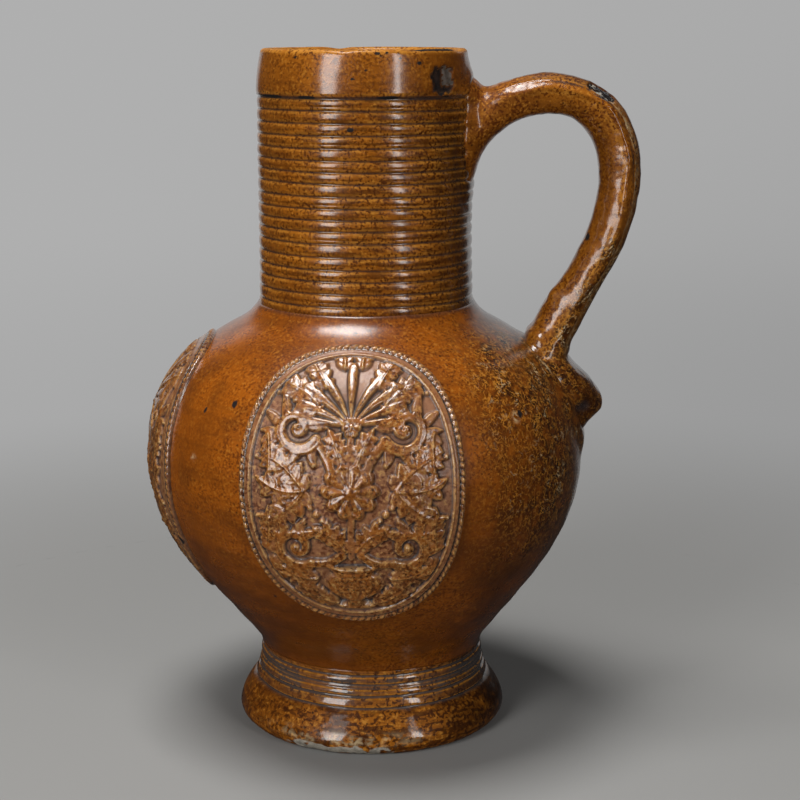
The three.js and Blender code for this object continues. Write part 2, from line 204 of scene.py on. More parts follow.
class Clay:
    """Seeded smooth unevenness in space, for hand-made surfaces."""

    def __init__(self, seed: int) -> None:
        """Draws the random directions for one seed."""
        rng = np.random.default_rng(seed)
        self.order = np.tile(rng.permutation(256), 2)
        leaning = rng.normal(size=(256, 3))
        self.leaning = leaning / np.linalg.norm(leaning, axis=1, keepdims=True)

    def at(self, points: Array) -> Array:
        """Unevenness of about -1 to 1 at points given in cells of the pattern.

        Args:
            points: places, one a row with three columns.

        Returns:
            One number a place.
        """
        whole = np.floor(points).astype(int)
        part = points - whole
        ease = part**3 * (part * (part * 6 - 15) + 10)
        total = np.zeros(len(points))
        for corner in np.ndindex(2, 2, 2):
            cell = (whole + corner) & 255
            pick = self.order[self.order[self.order[cell[:, 0]] + cell[:, 1]] + cell[:, 2]]
            reach = np.einsum("ij,ij->i", self.leaning[pick], part - corner)
            weight = np.prod(np.where(np.array(corner) == 1, ease, 1 - ease), axis=1)
            total += reach * weight
        return total * 1.7

    def layered(self, points: Array, layers: int = 3) -> Array:
        """Unevenness with finer layers of half the height added."""
        total = np.zeros(len(points))
        for layer in range(layers):
            total += self.at(points * 2.0**layer + 17.3 * layer) * 0.5**layer
        return total


@dataclass
class Skin:
    """A mesh in the making: its points, its faces and what its finish is told at each point."""

    points: Array
    faces: Array
    tells: dict[str, Array] = field(default_factory=dict)

    def tell(self, name: str, amount: Array) -> None:
        """Adds to what the finish is told under a name, kept from 0 to 1.

        Args:
            name: what the finish is told about.
            amount: how much at each point, in the points' order; any points left over get none.
        """
        flat = np.ravel(amount)
        known = self.tells.setdefault(name, np.zeros(len(self.points)))
        known[: len(flat)] = np.clip(known[: len(flat)] + flat, 0.0, 1.0)

    def make(self, name: str) -> bpy.types.Object:
        """Turns it into a Blender object.

        Args:
            name: the object's name.

        Returns:
            The object, linked to the scene, smooth shaded.
        """
        mesh = bpy.data.meshes.new(name)
        mesh.from_pydata((self.points * METRE).tolist(), [], self.faces.tolist())
        mesh.validate()
        for told, amount in self.tells.items():
            layer = mesh.attributes.new(told, "FLOAT", "POINT")
            layer.data.foreach_set("value", amount.astype(np.float32))
        mesh.shade_smooth()
        made = bpy.data.objects.new(name, mesh)
        bpy.context.scene.collection.objects.link(made)
        return made


def round_grid(rows: int, columns: int, closed: bool) -> Array:
    """Faces of a grid that runs round in its columns.

    Args:
        rows: points along the profile.
        columns: points round the axis.
        closed: whether the last row joins the first.

    Returns:
        Four-cornered faces, one a row.
    """
    row = np.arange(rows if closed else rows - 1)
    column = np.arange(columns)
    a, b = np.meshgrid(row, column, indexing="ij")
    up = (a + 1) % rows
    on = (b + 1) % columns
    quads = np.stack([a * columns + b, a * columns + on, up * columns + on, up * columns + b], -1)
    return quads.reshape(-1, 4)


@dataclass
class JugForm:
    """What the whole jug shares: its outline, and how it stands and leans after the firing."""

    waist_radius: float = 40.3
    waist_z: float = 28.5
    belly_radius: float = 76.5
    equator_z: float = 98.0
    neck_radius: float = 37.0
    neck_flare: float = 1.0
    neck_z: float = 153.0
    ribbed_height: float = 71.46
    rim_z: float = 240.5
    wall: float = 5.5
    neck_bore: float = 31.8
    foot_shift: float = 1.5
    neck_shift: float = -0.5
    unevenness: Clay = field(default_factory=lambda: Clay(11))

    def belly_outline(self, count: int = 240) -> Array:
        """The belly's outside from the seam at the foot to the seam under the neck.

        Args:
            count: how many points.

        Returns:
            Radii and heights, one point a row.
        """
        waist, seam, widest = self.waist_radius, self.waist_z, self.belly_radius
        neck, top = self.neck_radius + self.neck_flare, self.neck_z
        hem, shoulder = (waist + 3.2, seam + 6.3), (neck + 8, top - 7.2)
        equator = (widest, self.equator_z)
        low = bezier([(waist, seam), (waist + 0.3, seam + 2.7), hem], 30)
        lower = bezier([hem, (waist + 18.2, seam + 26), (widest, self.equator_z - 26), equator], 120)
        upper = bezier([equator, (widest, self.equator_z + 28), (neck + 23.5, top - 15.5), shoulder], 120)
        high = bezier([shoulder, (neck + 2.8, top - 4.4), (neck + 0.3, top)], 30)
        return evenly(np.concatenate([low, lower[1:], upper[1:], high[1:]]), count)

    def belly_at(self, z: Array) -> Array:
        """The belly's outside radius at heights."""
        outline = self.belly_outline(400)
        return np.interp(z, outline[:, 1], outline[:, 0])

    def neck_at(self, z: Array) -> Array:
        """The neck's radius at heights, without its ribs."""
        share = np.clip((z - self.neck_z) / self.ribbed_height, 0.0, 1.0)
        return self.neck_radius + self.neck_flare * (1.0 - share)

    def swell(self, turn: Array, z: Array) -> Array:
        """How far the thrown wall stands out of true.

        Args:
            turn: angles round the jug.
            z: heights.

        Returns:
            Lengths outwards.
        """
        flat = around_axis(1.1, turn, z / 70.0)
        out = 0.55 * self.unevenness.at(flat) + 0.16 * self.unevenness.at(flat * 3.1 + 5.0)
        out = out.reshape(turn.shape)
        return out * smooth(0.0, 12.0, z) * smooth(self.rim_z + 2.0, self.rim_z - 16.0, z)

    def settled(self, points: Array) -> Array:
        """Leans the jug a little on its foot.

        Args:
            points: places on it.

        Returns:
            The moved points.
        """
        moved = points.copy()
        z = points[:, 2]
        moved[:, 0] += self.foot_shift * smooth(105.0, 30.0, z)
        moved[:, 0] += self.neck_shift * smooth(150.0, 235.0, z)
        return moved


@dataclass
class ThrownWall:
    """A thrown piece's surface while it is shaped: rows along its profile, columns round it."""

    profile: Array
    around: int
    outside: slice
    turn: Array = field(init=False)
    radius: Array = field(init=False)
    z: Array = field(init=False)
    outer: Array = field(init=False)
    uneven: Array = field(init=False)

    def __post_init__(self) -> None:
        """Turns the profile round the axis and marks its outside."""
        angles = np.linspace(0, 2 * math.pi, self.around, endpoint=False)
        self.turn = angles[None, :].repeat(len(self.profile), 0)
        self.radius = self.profile[:, :1].repeat(self.around, 1)
        self.z = self.profile[:, 1:].repeat(self.around, 1)
        self.outer = np.zeros_like(self.turn)
        self.outer[self.outside] = 1.0

    def roughen(self, clay: Clay, lumps: Array, layers: int) -> None:
        """Draws the clay's unevenness over the wall from its places in cells of clay, one a row."""
        self.uneven = clay.layered(lumps, layers).reshape(self.turn.shape)

    def skin(self, form: JugForm, closed: bool) -> Skin:
        """The wall as a mesh that leans as the jug does; closed joins its last row to its first."""
        points = form.settled(around_axis(self.radius, self.turn, self.z))
        return Skin(points, round_grid(len(self.profile), self.around, closed))


class Recipe:
    """One material's nodes, made with short calls."""

    def __init__(self, name: str) -> None:
        """Starts an empty material."""
        self.material = bpy.data.materials.new(name)
        self.material.use_nodes = True
        self.tree = self.material.node_tree
        self.tree.nodes.clear()
        place = self.tree.nodes.new("ShaderNodeTexCoord")
        self.place = place.outputs["Object"]

    def node(self, kind: str, settings: dict | None = None, **inputs) -> bpy.types.Node:
        """Adds a node.

        Args:
            kind: its type, without the ShaderNode in front.
            settings: its own properties.
            **inputs: what goes into each socket, by the socket's name with _ for a space.

        Returns:
            The node.
        """
        made = self.tree.nodes.new("ShaderNode" + kind)
        for key, value in (settings or {}).items():
            setattr(made, key, value)
        for key, value in inputs.items():
            self.feed(made.inputs[key.replace("_", " ")], value)
        return made

    def feed(self, socket: Socket, value: object) -> None:
        """Links a socket, or sets its value."""
        if isinstance(value, Socket):
            self.tree.links.new(value, socket)
        elif isinstance(value, tuple) and socket.type == "RGBA":
            socket.default_value = (*value, 1.0)
        else:
            socket.default_value = value

    def reckoned(self, kind: str, doing: str, *terms: object) -> Socket:
        """Adds a node that reckons.

        Args:
            kind: its type, as for node.
            doing: what it does, such as ADD or MULTIPLY.
            *terms: what goes into its sockets, in order.

        Returns:
            Its result.
        """
        made = self.node(kind, {"operation": doing})
        for socket, term in zip(made.inputs, terms):
            self.feed(socket, term)
        return made.outputs[0]

    def maths(self, doing: str, a: object, b: object = 0.0) -> Socket:
        """A sum on one or two numbers."""
        return self.reckoned("Math", doing, a, b)

    def vector(self, doing: str, a: object, b: object) -> Socket:
        """A sum on two vectors."""
        return self.reckoned("VectorMath", doing, a, b)

    def scaled(self, value: object, by: float, plus: float) -> Socket:
        """A number times a factor, plus a term."""
        return self.reckoned("Math", "MULTIPLY_ADD", value, by, plus)

    def total(self, *terms: object) -> Socket:
        """The sum of numbers."""
        return reduce(lambda added, term: self.maths("ADD", added, term), terms)

    def times(self, *factors: object) -> Socket:
        """The product of numbers."""
        return reduce(lambda product, factor: self.maths("MULTIPLY", product, factor), factors)

    def step(self, value: object, low: float, high: float) -> Socket:
        """A soft step from 0 at low to 1 at high; low may be the larger.

        Args:
            value: the number to place on it.
            low: where it starts.
            high: where it ends.

        Returns:
            A number from 0 to 1.
        """
        made = self.node("MapRange", {"interpolation_type": "SMOOTHSTEP"}, Value=value)
        turned_round = low > high
        made.inputs["From Min"].default_value = min(low, high)
        made.inputs["From Max"].default_value = max(low, high)
        made.inputs["To Min"].default_value = 1.0 if turned_round else 0.0
        made.inputs["To Max"].default_value = 0.0 if turned_round else 1.0
        return made.outputs["Result"]

    def mix(self, share: object, under: object, over: object) -> Socket:
        """Lays a colour over another.

        Args:
            share: how much of it covers.
            under: the colour below.
            over: the colour on top.

        Returns:
            The mixed colour.
        """
        made = self.tree.nodes.new("ShaderNodeMix")
        made.data_type = "RGBA"
        self.feed(made.inputs[0], share)
        self.feed(made.inputs[6], under)
        self.feed(made.inputs[7], over)
        return made.outputs[2]

    def told(self, name: str) -> Socket:
        """What the mesh tells its finish under a name."""
        return self.node("Attribute", {"attribute_name": name}).outputs["Fac"]

    def stretched(self, scale: Place) -> Socket:
        """The object's own coordinates, scaled by axis."""
        return self.node("Mapping", Vector=self.place, Scale=scale).outputs["Vector"]

    def cloud(self, per_metre: float, detail: float = 3.0, of: object = None) -> Socket:
        """Smooth noise with that many cells a metre."""
        made = self.node("TexNoise", Vector=of or self.place, Scale=per_metre, Detail=detail)
        return made.outputs["Fac"]

    def cells(self, per_metre: float, of: Socket) -> bpy.types.Node:
        """Scattered cells of about one over that size, each with a place and a colour of its own."""
        return self.node("TexVoronoi", Vector=of, Scale=per_metre)

    def winding(self, per_metre: float, detail: float, of: Socket) -> Socket:
        """How far smooth noise is from its middle, so that a low limit draws winding lines."""
        return self.maths("ABSOLUTE", self.maths("SUBTRACT", self.cloud(per_metre, detail, of), 0.5))

    def shaken(self, per_metre: float, reach: float) -> Socket:
        """The object's coordinates, moved about by noise so that a pattern isn't regular."""
        noise = self.node("TexNoise", Vector=self.place, Scale=per_metre, Detail=2.0)
        centred = self.vector("SUBTRACT", noise.outputs["Color"], (0.5,) * 3)
        return self.vector("ADD", self.place, self.vector("MULTIPLY", centred, (reach,) * 3))

    def done(self, shader: Socket) -> bpy.types.Material:
        """Sends a shader to the output and gives the material."""
        self.node("OutputMaterial", Surface=shader)
        return self.material


class Glazing(Recipe):
    """The nodes of one salt glaze, layer over layer: each layer takes the colour under it."""

    def __init__(self, glaze: "SaltGlaze") -> None:
        """Makes the uneven fields and the marks that several layers share.

        Args:
            glaze: the colours and amounts to use.
        """
        super().__init__(glaze.name)
        self.glaze = glaze
        self.wandering = self.shaken(260.0, 0.0016)
        self.broad = self.cloud(19.0, 4.0)
        self.middle = self.cloud(95.0, 4.0)
        self.fine = self.cloud(620.0, 3.0)
        self.dust = self.cloud(1700.0, 2.0)
        self.rings = self.cloud(1.0, 3.0, self.stretched((26.0, 26.0, 420.0)))
        self.blotch = self.cloud(210.0, 5.0, self.wandering)
        self.grain = self.cloud(glaze.grain, 2.0, self.wandering)
        self.spotted = self.times(self.step(self.grain, 0.49, 0.62), self.step(self.blotch, 0.3, 0.5))
        self.worms = self.step(self.winding(720.0, 2.0, self.wandering), 0.07, 0.025)
        self.hollow = self.told("hollow")
        self.pit = self.pin_holes()
        blotched = self.times(self.blotch, 0.5)
        self.stain = self.step(self.maths("ADD", self.told("stain"), blotched), 0.62, 0.86)
        patchy = self.times(self.middle, 0.6)
        self.bare = self.step(self.maths("ADD", self.told("bare"), patchy), 0.66, 0.84)

    def pin_holes(self) -> Socket:
        """The few small iron-dark pits that every piece has."""
        pits = self.cells(120.0, self.wandering)
        apart = self.node("SeparateColor", Color=pits.outputs["Color"]).outputs[0]
        return self.times(self.step(pits.outputs["Distance"], 0.085, 0.045), self.step(apart, 0.8, 0.86))

    def ground(self) -> Socket:
        """The body colour: warmer in broad clouds, duller in patches and along the throwing rings."""
        glaze = self.glaze
        clouds = self.times(self.step(self.broad, 0.36, 0.66), glaze.drift)
        colour = self.mix(self.maths("MAXIMUM", clouds, self.told("rusty")), glaze.body, glaze.warm)
        colour = self.mix(self.times(self.step(self.middle, 0.42, 0.72), 0.55), colour, glaze.dull)
        return self.mix(self.times(self.step(self.rings, 0.5, 0.68), glaze.throwing), colour, glaze.dull)

    def speckled(self, colour: Socket) -> Socket:
        """Adds russet grain, ochre flecks, umber dots and level streaks.

        Args:
            colour: the layers under it.

        Returns:
            The colour with them.
        """
        glaze = self.glaze
        lively = self.maths("MAXIMUM", self.step(self.broad, 0.42, 0.62), self.told("mottle"))
        amount = self.scaled(lively, glaze.speckle, 0.22)
        colour = self.mix(self.maths("MINIMUM", self.times(self.spotted, amount), 0.9), colour, glaze.russet)
        flecks = self.times(self.step(self.grain, 0.47, 0.36), self.step(self.fine, 0.4, 0.6))
        colour = self.mix(self.times(flecks, amount, glaze.flecks), colour, glaze.ochre)
        dots = self.cells(420.0, self.wandering)
        chosen = self.node("SeparateColor", Color=dots.outputs["Color"]).outputs[1]
        dot = self.times(self.step(dots.outputs["Distance"], 0.24, 0.1), self.step(chosen, 0.55, 0.65))
        colour = self.mix(self.times(dot, amount, 0.85), colour, glaze.umber)
        drawn = self.step(self.cloud(1.0, 4.0, self.stretched((110.0, 110.0, 620.0))), 0.48, 0.55)
        drawn = self.times(drawn, self.told("mottle"), glaze.streaks)
        return self.mix(self.times(drawn, self.step(self.fine, 0.34, 0.46), 0.92), colour, glaze.russet)

    def tiger_skinned(self, colour: Socket) -> Socket:
        """Lays dark islands parted by thin pale winding lines, where the fire drew them.

        Args:
            colour: the layers under it.

        Returns:
            The colour with them.
        """
        glaze = self.glaze
        island = self.step(self.cloud(520.0, 1.5, self.wandering), 0.4, 0.52)
        dark = self.mix(island, glaze.dull, glaze.umber)
        pale = self.mix(self.step(self.middle, 0.66, 0.82), glaze.ochre, glaze.cream)
        tiger_skin = self.mix(self.times(self.worms, self.step(self.fine, 0.38, 0.58)), dark, pale)
        patchy = self.times(self.told("tiger"), self.step(self.blotch, 0.2, 0.5))
        return self.mix(patchy, colour, tiger_skin)

    def painted_shade(self, colour: Socket) -> Socket:
        """Paints shade: darkens the colour where the mesh tells of painted shade, on sides and undersides
        turned from the lamps.
        """
        shade_share = self.times(self.told("painted_shade"), self.step(self.blotch, 0.12, 0.46))
        return self.mix(self.times(shade_share, 0.9), colour, self.glaze.shade_colour)

    def gathered(self, colour: Socket) -> Socket:
        """Pools the glaze dark in hollows, thins it ochre on ridges and pale on worn edges and runs.

        Args:
            colour: the layers under it.

        Returns:
            The colour with these.
        """
        glaze = self.glaze
        colour = self.mix(self.times(self.hollow, 0.88), colour, glaze.pool)
        ridge = self.times(self.told("ridge"), self.step(self.blotch, 0.2, 0.54))
        ridge = self.times(ridge, self.step(self.spotted, 1.0, 0.2), 0.85)
        colour = self.mix(ridge, colour, glaze.ochre)
        pale = self.times(self.told("pale"), self.step(self.fine, 0.36, 0.56))
        vein = self.step(self.winding(230.0, 3.0, self.wandering), 0.022, 0.008)
        runs = self.times(vein, self.told("runs"), self.step(self.blotch, 0.5, 0.62), 0.8)
        return self.mix(self.maths("MAXIMUM", pale, runs), colour, glaze.cream)

    def flawed(self, colour: Socket) -> Socket:
        """Adds iron pits, iron stains and bare clay.

        Args:
            colour: the layers under it.

        Returns:
            The colour with them.
        """
        glaze = self.glaze
        colour = self.mix(self.times(self.pit, 0.9), colour, glaze.iron)
        colour = self.mix(self.stain, colour, glaze.iron)
        shaded = tuple(0.6 * channel for channel in glaze.clay)
        return self.mix(self.bare, colour, self.mix(self.step(self.fine, 0.35, 0.7), glaze.clay, shaded))

    def roughness(self) -> Socket:
        """Rougher where it is bare, stained or worn, smoother where it pooled.

        Returns:
            The roughness.
        """
        return self.total(
            self.scaled(self.middle, 0.22, self.glaze.roughness - 0.11),
            self.times(self.bare, 0.22),
            self.times(self.stain, 0.12),
            self.times(self.told("worn"), 0.25),
            self.times(self.hollow, -0.06),
        )

    def relief(self) -> Socket:
        """The orange peel of the salt, with pits and throwing rings too fine for the mesh.

        Returns:
            The direction the surface faces.
        """
        height = self.total(
            self.times(self.fine, 0.6),
            self.times(self.middle, 1.6),
            self.times(self.dust, 0.12),
            self.times(self.rings, self.glaze.throwing, 1.4),
            self.times(self.spotted, -0.25),
            self.times(self.pit, -1.6),
            self.times(self.told("tiger"), self.worms, 0.5),
        )
        bump = self.node("Bump", Height=height, Strength=self.glaze.peel, Distance=0.00016)
        return bump.outputs["Normal"]


@dataclass(frozen=True)
class SaltGlaze:
    """Iron-brown salt glaze over grey stoneware: thin and ochre on edges, dark where it pooled."""

    name: str
    body: Colour = (0.195, 0.049, 0.0028)
    warm: Colour = (0.305, 0.080, 0.0040)
    dull: Colour = (0.110, 0.030, 0.0030)
    umber: Colour = (0.026, 0.008, 0.0020)
    russet: Colour = (0.085, 0.019, 0.0020)
    ochre: Colour = (0.450, 0.190, 0.0250)
    cream: Colour = (0.600, 0.460, 0.260)
    pool: Colour = (0.030, 0.021, 0.020)
    clay: Colour = (0.330, 0.300, 0.250)
    iron: Colour = (0.014, 0.012, 0.012)
    # the colour of painted shade, on sides and undersides turned from the lamps
    shade_colour: Colour = (0.055, 0.015, 0.0020)
    speckle: float = 0.6
    flecks: float = 0.5
    throwing: float = 0.3
    grain: float = 1050.0
    streaks: float = 0.0
    drift: float = 1.0
    roughness: float = 0.29
    gloss: float = 0.16
    under_gloss: float = 0.1
    peel: float = 0.5

    def material(self) -> bpy.types.Material:
        """Builds the material.

        Returns:
            A procedural material that reads what each mesh tells it.
        """
        glazing = Glazing(self)
        colour = glazing.ground()
        layers = (glazing.speckled, glazing.tiger_skinned, glazing.painted_shade, glazing.gathered, glazing.flawed)
        for layer in layers:
            colour = layer(colour)
        shader = glazing.node("BsdfPrincipled", Base_Color=colour, Roughness=glazing.roughness())
        shader.inputs["IOR"].default_value = 1.5
        shader.inputs["Specular IOR Level"].default_value = self.under_gloss
        matt = glazing.maths("MAXIMUM", glazing.told("worn"), glazing.bare)
        glazing.feed(shader.inputs["Coat Weight"], glazing.maths("SUBTRACT", 1.0, matt))
        shader.inputs["Coat Roughness"].default_value = self.gloss
        shader.inputs["Coat IOR"].default_value = 1.45
        glazing.feed(shader.inputs["Normal"], glazing.relief())
        return glazing.done(shader.outputs["BSDF"])


class Finish(Enum):
    """The glaze on each kind of piece."""

    FOOT = SaltGlaze(
        "foot_salt_glaze",
        body=(0.200, 0.060, 0.0045),
        warm=(0.310, 0.102, 0.0070),
        russet=(0.048, 0.012, 0.0015),
        pool=(0.050, 0.046, 0.046),
        shade_colour=(0.016, 0.0050, 0.0010),
        grain=720.0,
        speckle=1.0,
        flecks=0.8,
        throwing=0.5,
        streaks=1.0,
        gloss=0.1,
    )
    BELLY = SaltGlaze("belly_salt_glaze", shade_colour=(0.038, 0.0105, 0.0016), gloss=0.23)
    NECK = SaltGlaze(
        "neck_salt_glaze",
        body=(0.205, 0.060, 0.0045),
        warm=(0.300, 0.094, 0.0060),
        clay=(0.150, 0.122, 0.102),
        russet=(0.062, 0.015, 0.0018),
        shade_colour=(0.032, 0.0085, 0.0014),
        speckle=0.66,
        flecks=0.85,
        throwing=0.45,
        streaks=0.9,
        gloss=0.155,
        peel=0.75,
    )
    HANDLE = SaltGlaze(
        "handle_salt_glaze",
        body=(0.200, 0.062, 0.0055),
        warm=(0.310, 0.104, 0.0075),
        shade_colour=(0.040, 0.0110, 0.0016),
        speckle=0.95,
        flecks=0.7,
        gloss=0.15,
        peel=0.8,
    )
    MEDALLION = SaltGlaze(
        "medallion_salt_glaze",
        # body mixes the ground's own brown with a greyish painted sheen
        body=(0.232, 0.104, 0.0500),
        warm=(0.300, 0.092, 0.0110),
        dull=(0.115, 0.044, 0.0140),
        ochre=(0.480, 0.270, 0.0850),
        pool=(0.020, 0.021, 0.026),
        grain=800.0,
        speckle=0.95,
        flecks=0.6,
        drift=0.3,
        throwing=0.0,
        gloss=0.17,
        under_gloss=0.4,
        peel=0.6,
    )


@dataclass
class Foot:
    """The thrown foot: a round moulding under four turned cordons, hollow down to its floor."""

    form: JugForm
    base_radius: float = 45.4
    widest_radius: float = 48.5
    widest_z: float = 4.2
    floor_z: float = 9.0
    cordons_z: float = 15.3
    recess: float = 0.9
    eye: float = 0.4
    cordon_grooves: tuple[float, ...] = (15.5, 19.3, 22.0, 23.5, 26.7)
    groove_depths: tuple[float, ...] = (0.9, 0.75, 0.5, 0.6, 0.75)
    around: int = 400
    clay: Clay = field(default_factory=lambda: Clay(23))

    def cordon_radius(self, z: Array) -> Array:
        """The radius under the cordons' crests."""
        down = (self.form.waist_z - z) / (self.form.waist_z - self.cordons_z)
        return self.form.waist_radius + 2.6 * down * np.abs(down)

    def outline(self) -> Array:
        """The smooth outside before the grooves, from the underside to the seam.

        Returns:
            Radii and heights, one point a row.
        """
        widest = (self.widest_radius, self.widest_z)
        top = (float(self.cordon_radius(np.array(self.cordons_z))), self.cordons_z)
        edge = bezier([(self.base_radius - 0.6, 0.0), (self.widest_radius - 0.5, 0.3), widest], 26)
        moulding = bezier([widest, (self.widest_radius, 7.3), (46.6, 10.2), top], 40)
        z = np.linspace(self.cordons_z, self.form.waist_z, 66)[1:]
        upper = np.stack([self.cordon_radius(z), z], axis=1)
        return np.concatenate([edge, moulding[1:], upper])

    def profile(self) -> tuple[Array, slice]:
        """The whole section, from under the foot round to its floor.

        Returns:
            Its radii and heights, one point a row, and which rows are outside.
        """
        bore, floor_z = self.form.waist_radius - self.form.wall, self.floor_z
        under = np.linspace([self.eye, self.recess], [40.0, self.recess], 16)
        rest = np.array([(42.5, 0.55), (44.2, 0.12)])
        outside = self.outline()
        cove = bezier([(bore, floor_z + 8), (bore, floor_z), (bore - 8, floor_z)], 14)
        floor = np.linspace([bore - 9, floor_z], [self.eye, floor_z], 12)
        first = len(under) + len(rest)
        rows = [under, rest, outside, [(bore, self.form.waist_z)], cove, floor]
        return np.concatenate(rows), slice(first, first + len(outside))

    def groove(self, z: Array, turn: Array) -> Array:
        """How deep the turned grooves cut; they run slightly out of level.

        Args:
            z: heights.
            turn: angles round the foot.

        Returns:
            Lengths inwards.
        """
        depth = np.zeros_like(z)
        for k, (height, deep) in enumerate(zip(self.cordon_grooves, self.groove_depths)):
            level = height + 0.16 * np.sin(turn + 1.7 * k) + 0.07 * np.sin(3 * turn + k)
            depth += deep * np.exp(-np.abs((z - level) / 0.62) ** 1.7)
        return depth

    def build(self) -> Skin:
        """Builds the mesh.

        Returns:
            The foot, with what its glaze is told.
        """
        profile, outside = self.profile()
        wall = ThrownWall(profile, self.around, outside)
        turn, z, outer = wall.turn, wall.z, wall.outer
        cut = self.groove(z, turn) * outer * smooth(14.2, 15.2, z)
        lumps = around_axis(3.0, turn, z / 9)
        wall.roughen(self.clay, lumps, 4)
        fine = self.clay.layered(lumps * 4 + 3, 2).reshape(turn.shape)
        wall.radius -= cut
        wall.radius += outer * (self.form.swell(turn, z) + 0.22 * wall.uneven)
        bottom = smooth(3.4, 0.0, z) * outer
        wall.radius -= bottom * (0.5 + 0.9 * np.clip(fine + wall.uneven * 0.6, 0.0, 1.0)) * 0.9
        under_side = 1.0 - np.clip(outer + (z > 2.0), 0, 1)
        swirl = np.sin(wall.radius * 0.9 + turn) * 0.12 * smooth(44.0, 40.0, wall.radius)
        wall.z += under_side * swirl * smooth(0.5, 3.0, wall.radius)
        skin = wall.skin(self.form, closed=False)
        self.close(skin)
        self.tell(skin, wall, cut, fine)
        skin.tell("bare", 0.9 * under_side)
        return skin

    def close(self, skin: Skin) -> None:
        """Closes the small holes on the axis, under the foot and on its floor.

        Args:
            skin: the foot, changed in place.
        """
        count, centres = self.around, len(skin.points)
        ring = np.arange(count)
        top = centres - count
        middles = [skin.points[:count].mean(0), skin.points[top:].mean(0)]
        skin.points = np.concatenate([skin.points, middles])
        low_fan = np.stack([ring, np.full(count, centres), (ring + 1) % count], 1)
        high_fan = np.stack([top + ring, top + (ring + 1) % count, np.full(count, centres + 1)], 1)
        faces = skin.faces.tolist() + low_fan.tolist() + high_fan.tolist()
        skin.faces = np.array(faces, dtype=object)

    def tell(self, skin: Skin, wall: ThrownWall, cut: Array, fine: Array) -> None:
        """Tells the glaze where it pooled, broke, missed the clay or mottled, and where shade is painted on
        its right side and along its lowest edge.

        Args:
            skin: the foot.
            wall: its surface, row by row.
            cut: how deep the grooves cut there.
            fine: the clay's fine unevenness there.
        """
        turn, z, outer, uneven = wall.turn, wall.z, wall.outer, wall.uneven
        cordons = smooth(14.3, 15.4, z) * smooth(29.2, 27.8, z) * outer
        between = smooth(17.5, 19.5, z) * smooth(27.0, 24.0, z)
        lip = hump(0.22, 0.09, cut) * cordons
        skin.tell("hollow", smooth(0.34, 0.7, cut) * 0.85 * outer)
        skin.tell("hollow", cordons * between * 0.85 * smooth(-0.25, 0.35, uneven + 0.4 * fine))
        skin.tell("hollow", cordons * (0.2 + 0.3 * between) * smooth(0.55, 0.1, lip) * (1.0 + 0.5 * uneven))
        skin.tell("ridge", lip)
        shelf = 0.75 * smooth(7.4, 8.8, z) * smooth(15.4, 14.4, z)
        skin.tell("worn", outer * (shelf + 0.6 * smooth(self.widest_z, 3.0, z)))
        plain_left = 1.0 - 0.45 * sector(turn, -160.0, 0.6)
        skin.tell("mottle", smooth(16.5, 13.0, z) * outer * 0.9 * plain_left + 0.35 * cordons)
        # painted shade on the foot's right side, in the belly's shadow and turned from the key lamp
        facing = np.degrees(away(turn, 0.0))
        right = smooth(-64.0, -34.0, facing) * smooth(75.0, 40.0, facing)
        skin.tell("painted_shade", right * smooth(0.5, 3.0, z) * outer * (0.95 + 0.4 * uneven))
        front = sector(turn, -97.0, 0.52)
        low = smooth(6.2, 1.8, z)
        skin.tell("bare", outer * low * front * (0.5 + 0.9 * uneven + 0.7 * fine))
        rubbed = smooth(9.5, 6.5, z) * smooth(3.0, 5.0, z) * front
        skin.tell("pale", outer * rubbed * np.clip(0.35 + 0.9 * fine, 0.0, 1.0) * 0.6)
        # painted shade along the lowest edge, where the foot meets the floor, in the iron colour
        skin.tell("stain", outer * smooth(1.1, 0.1, z) * 0.35)


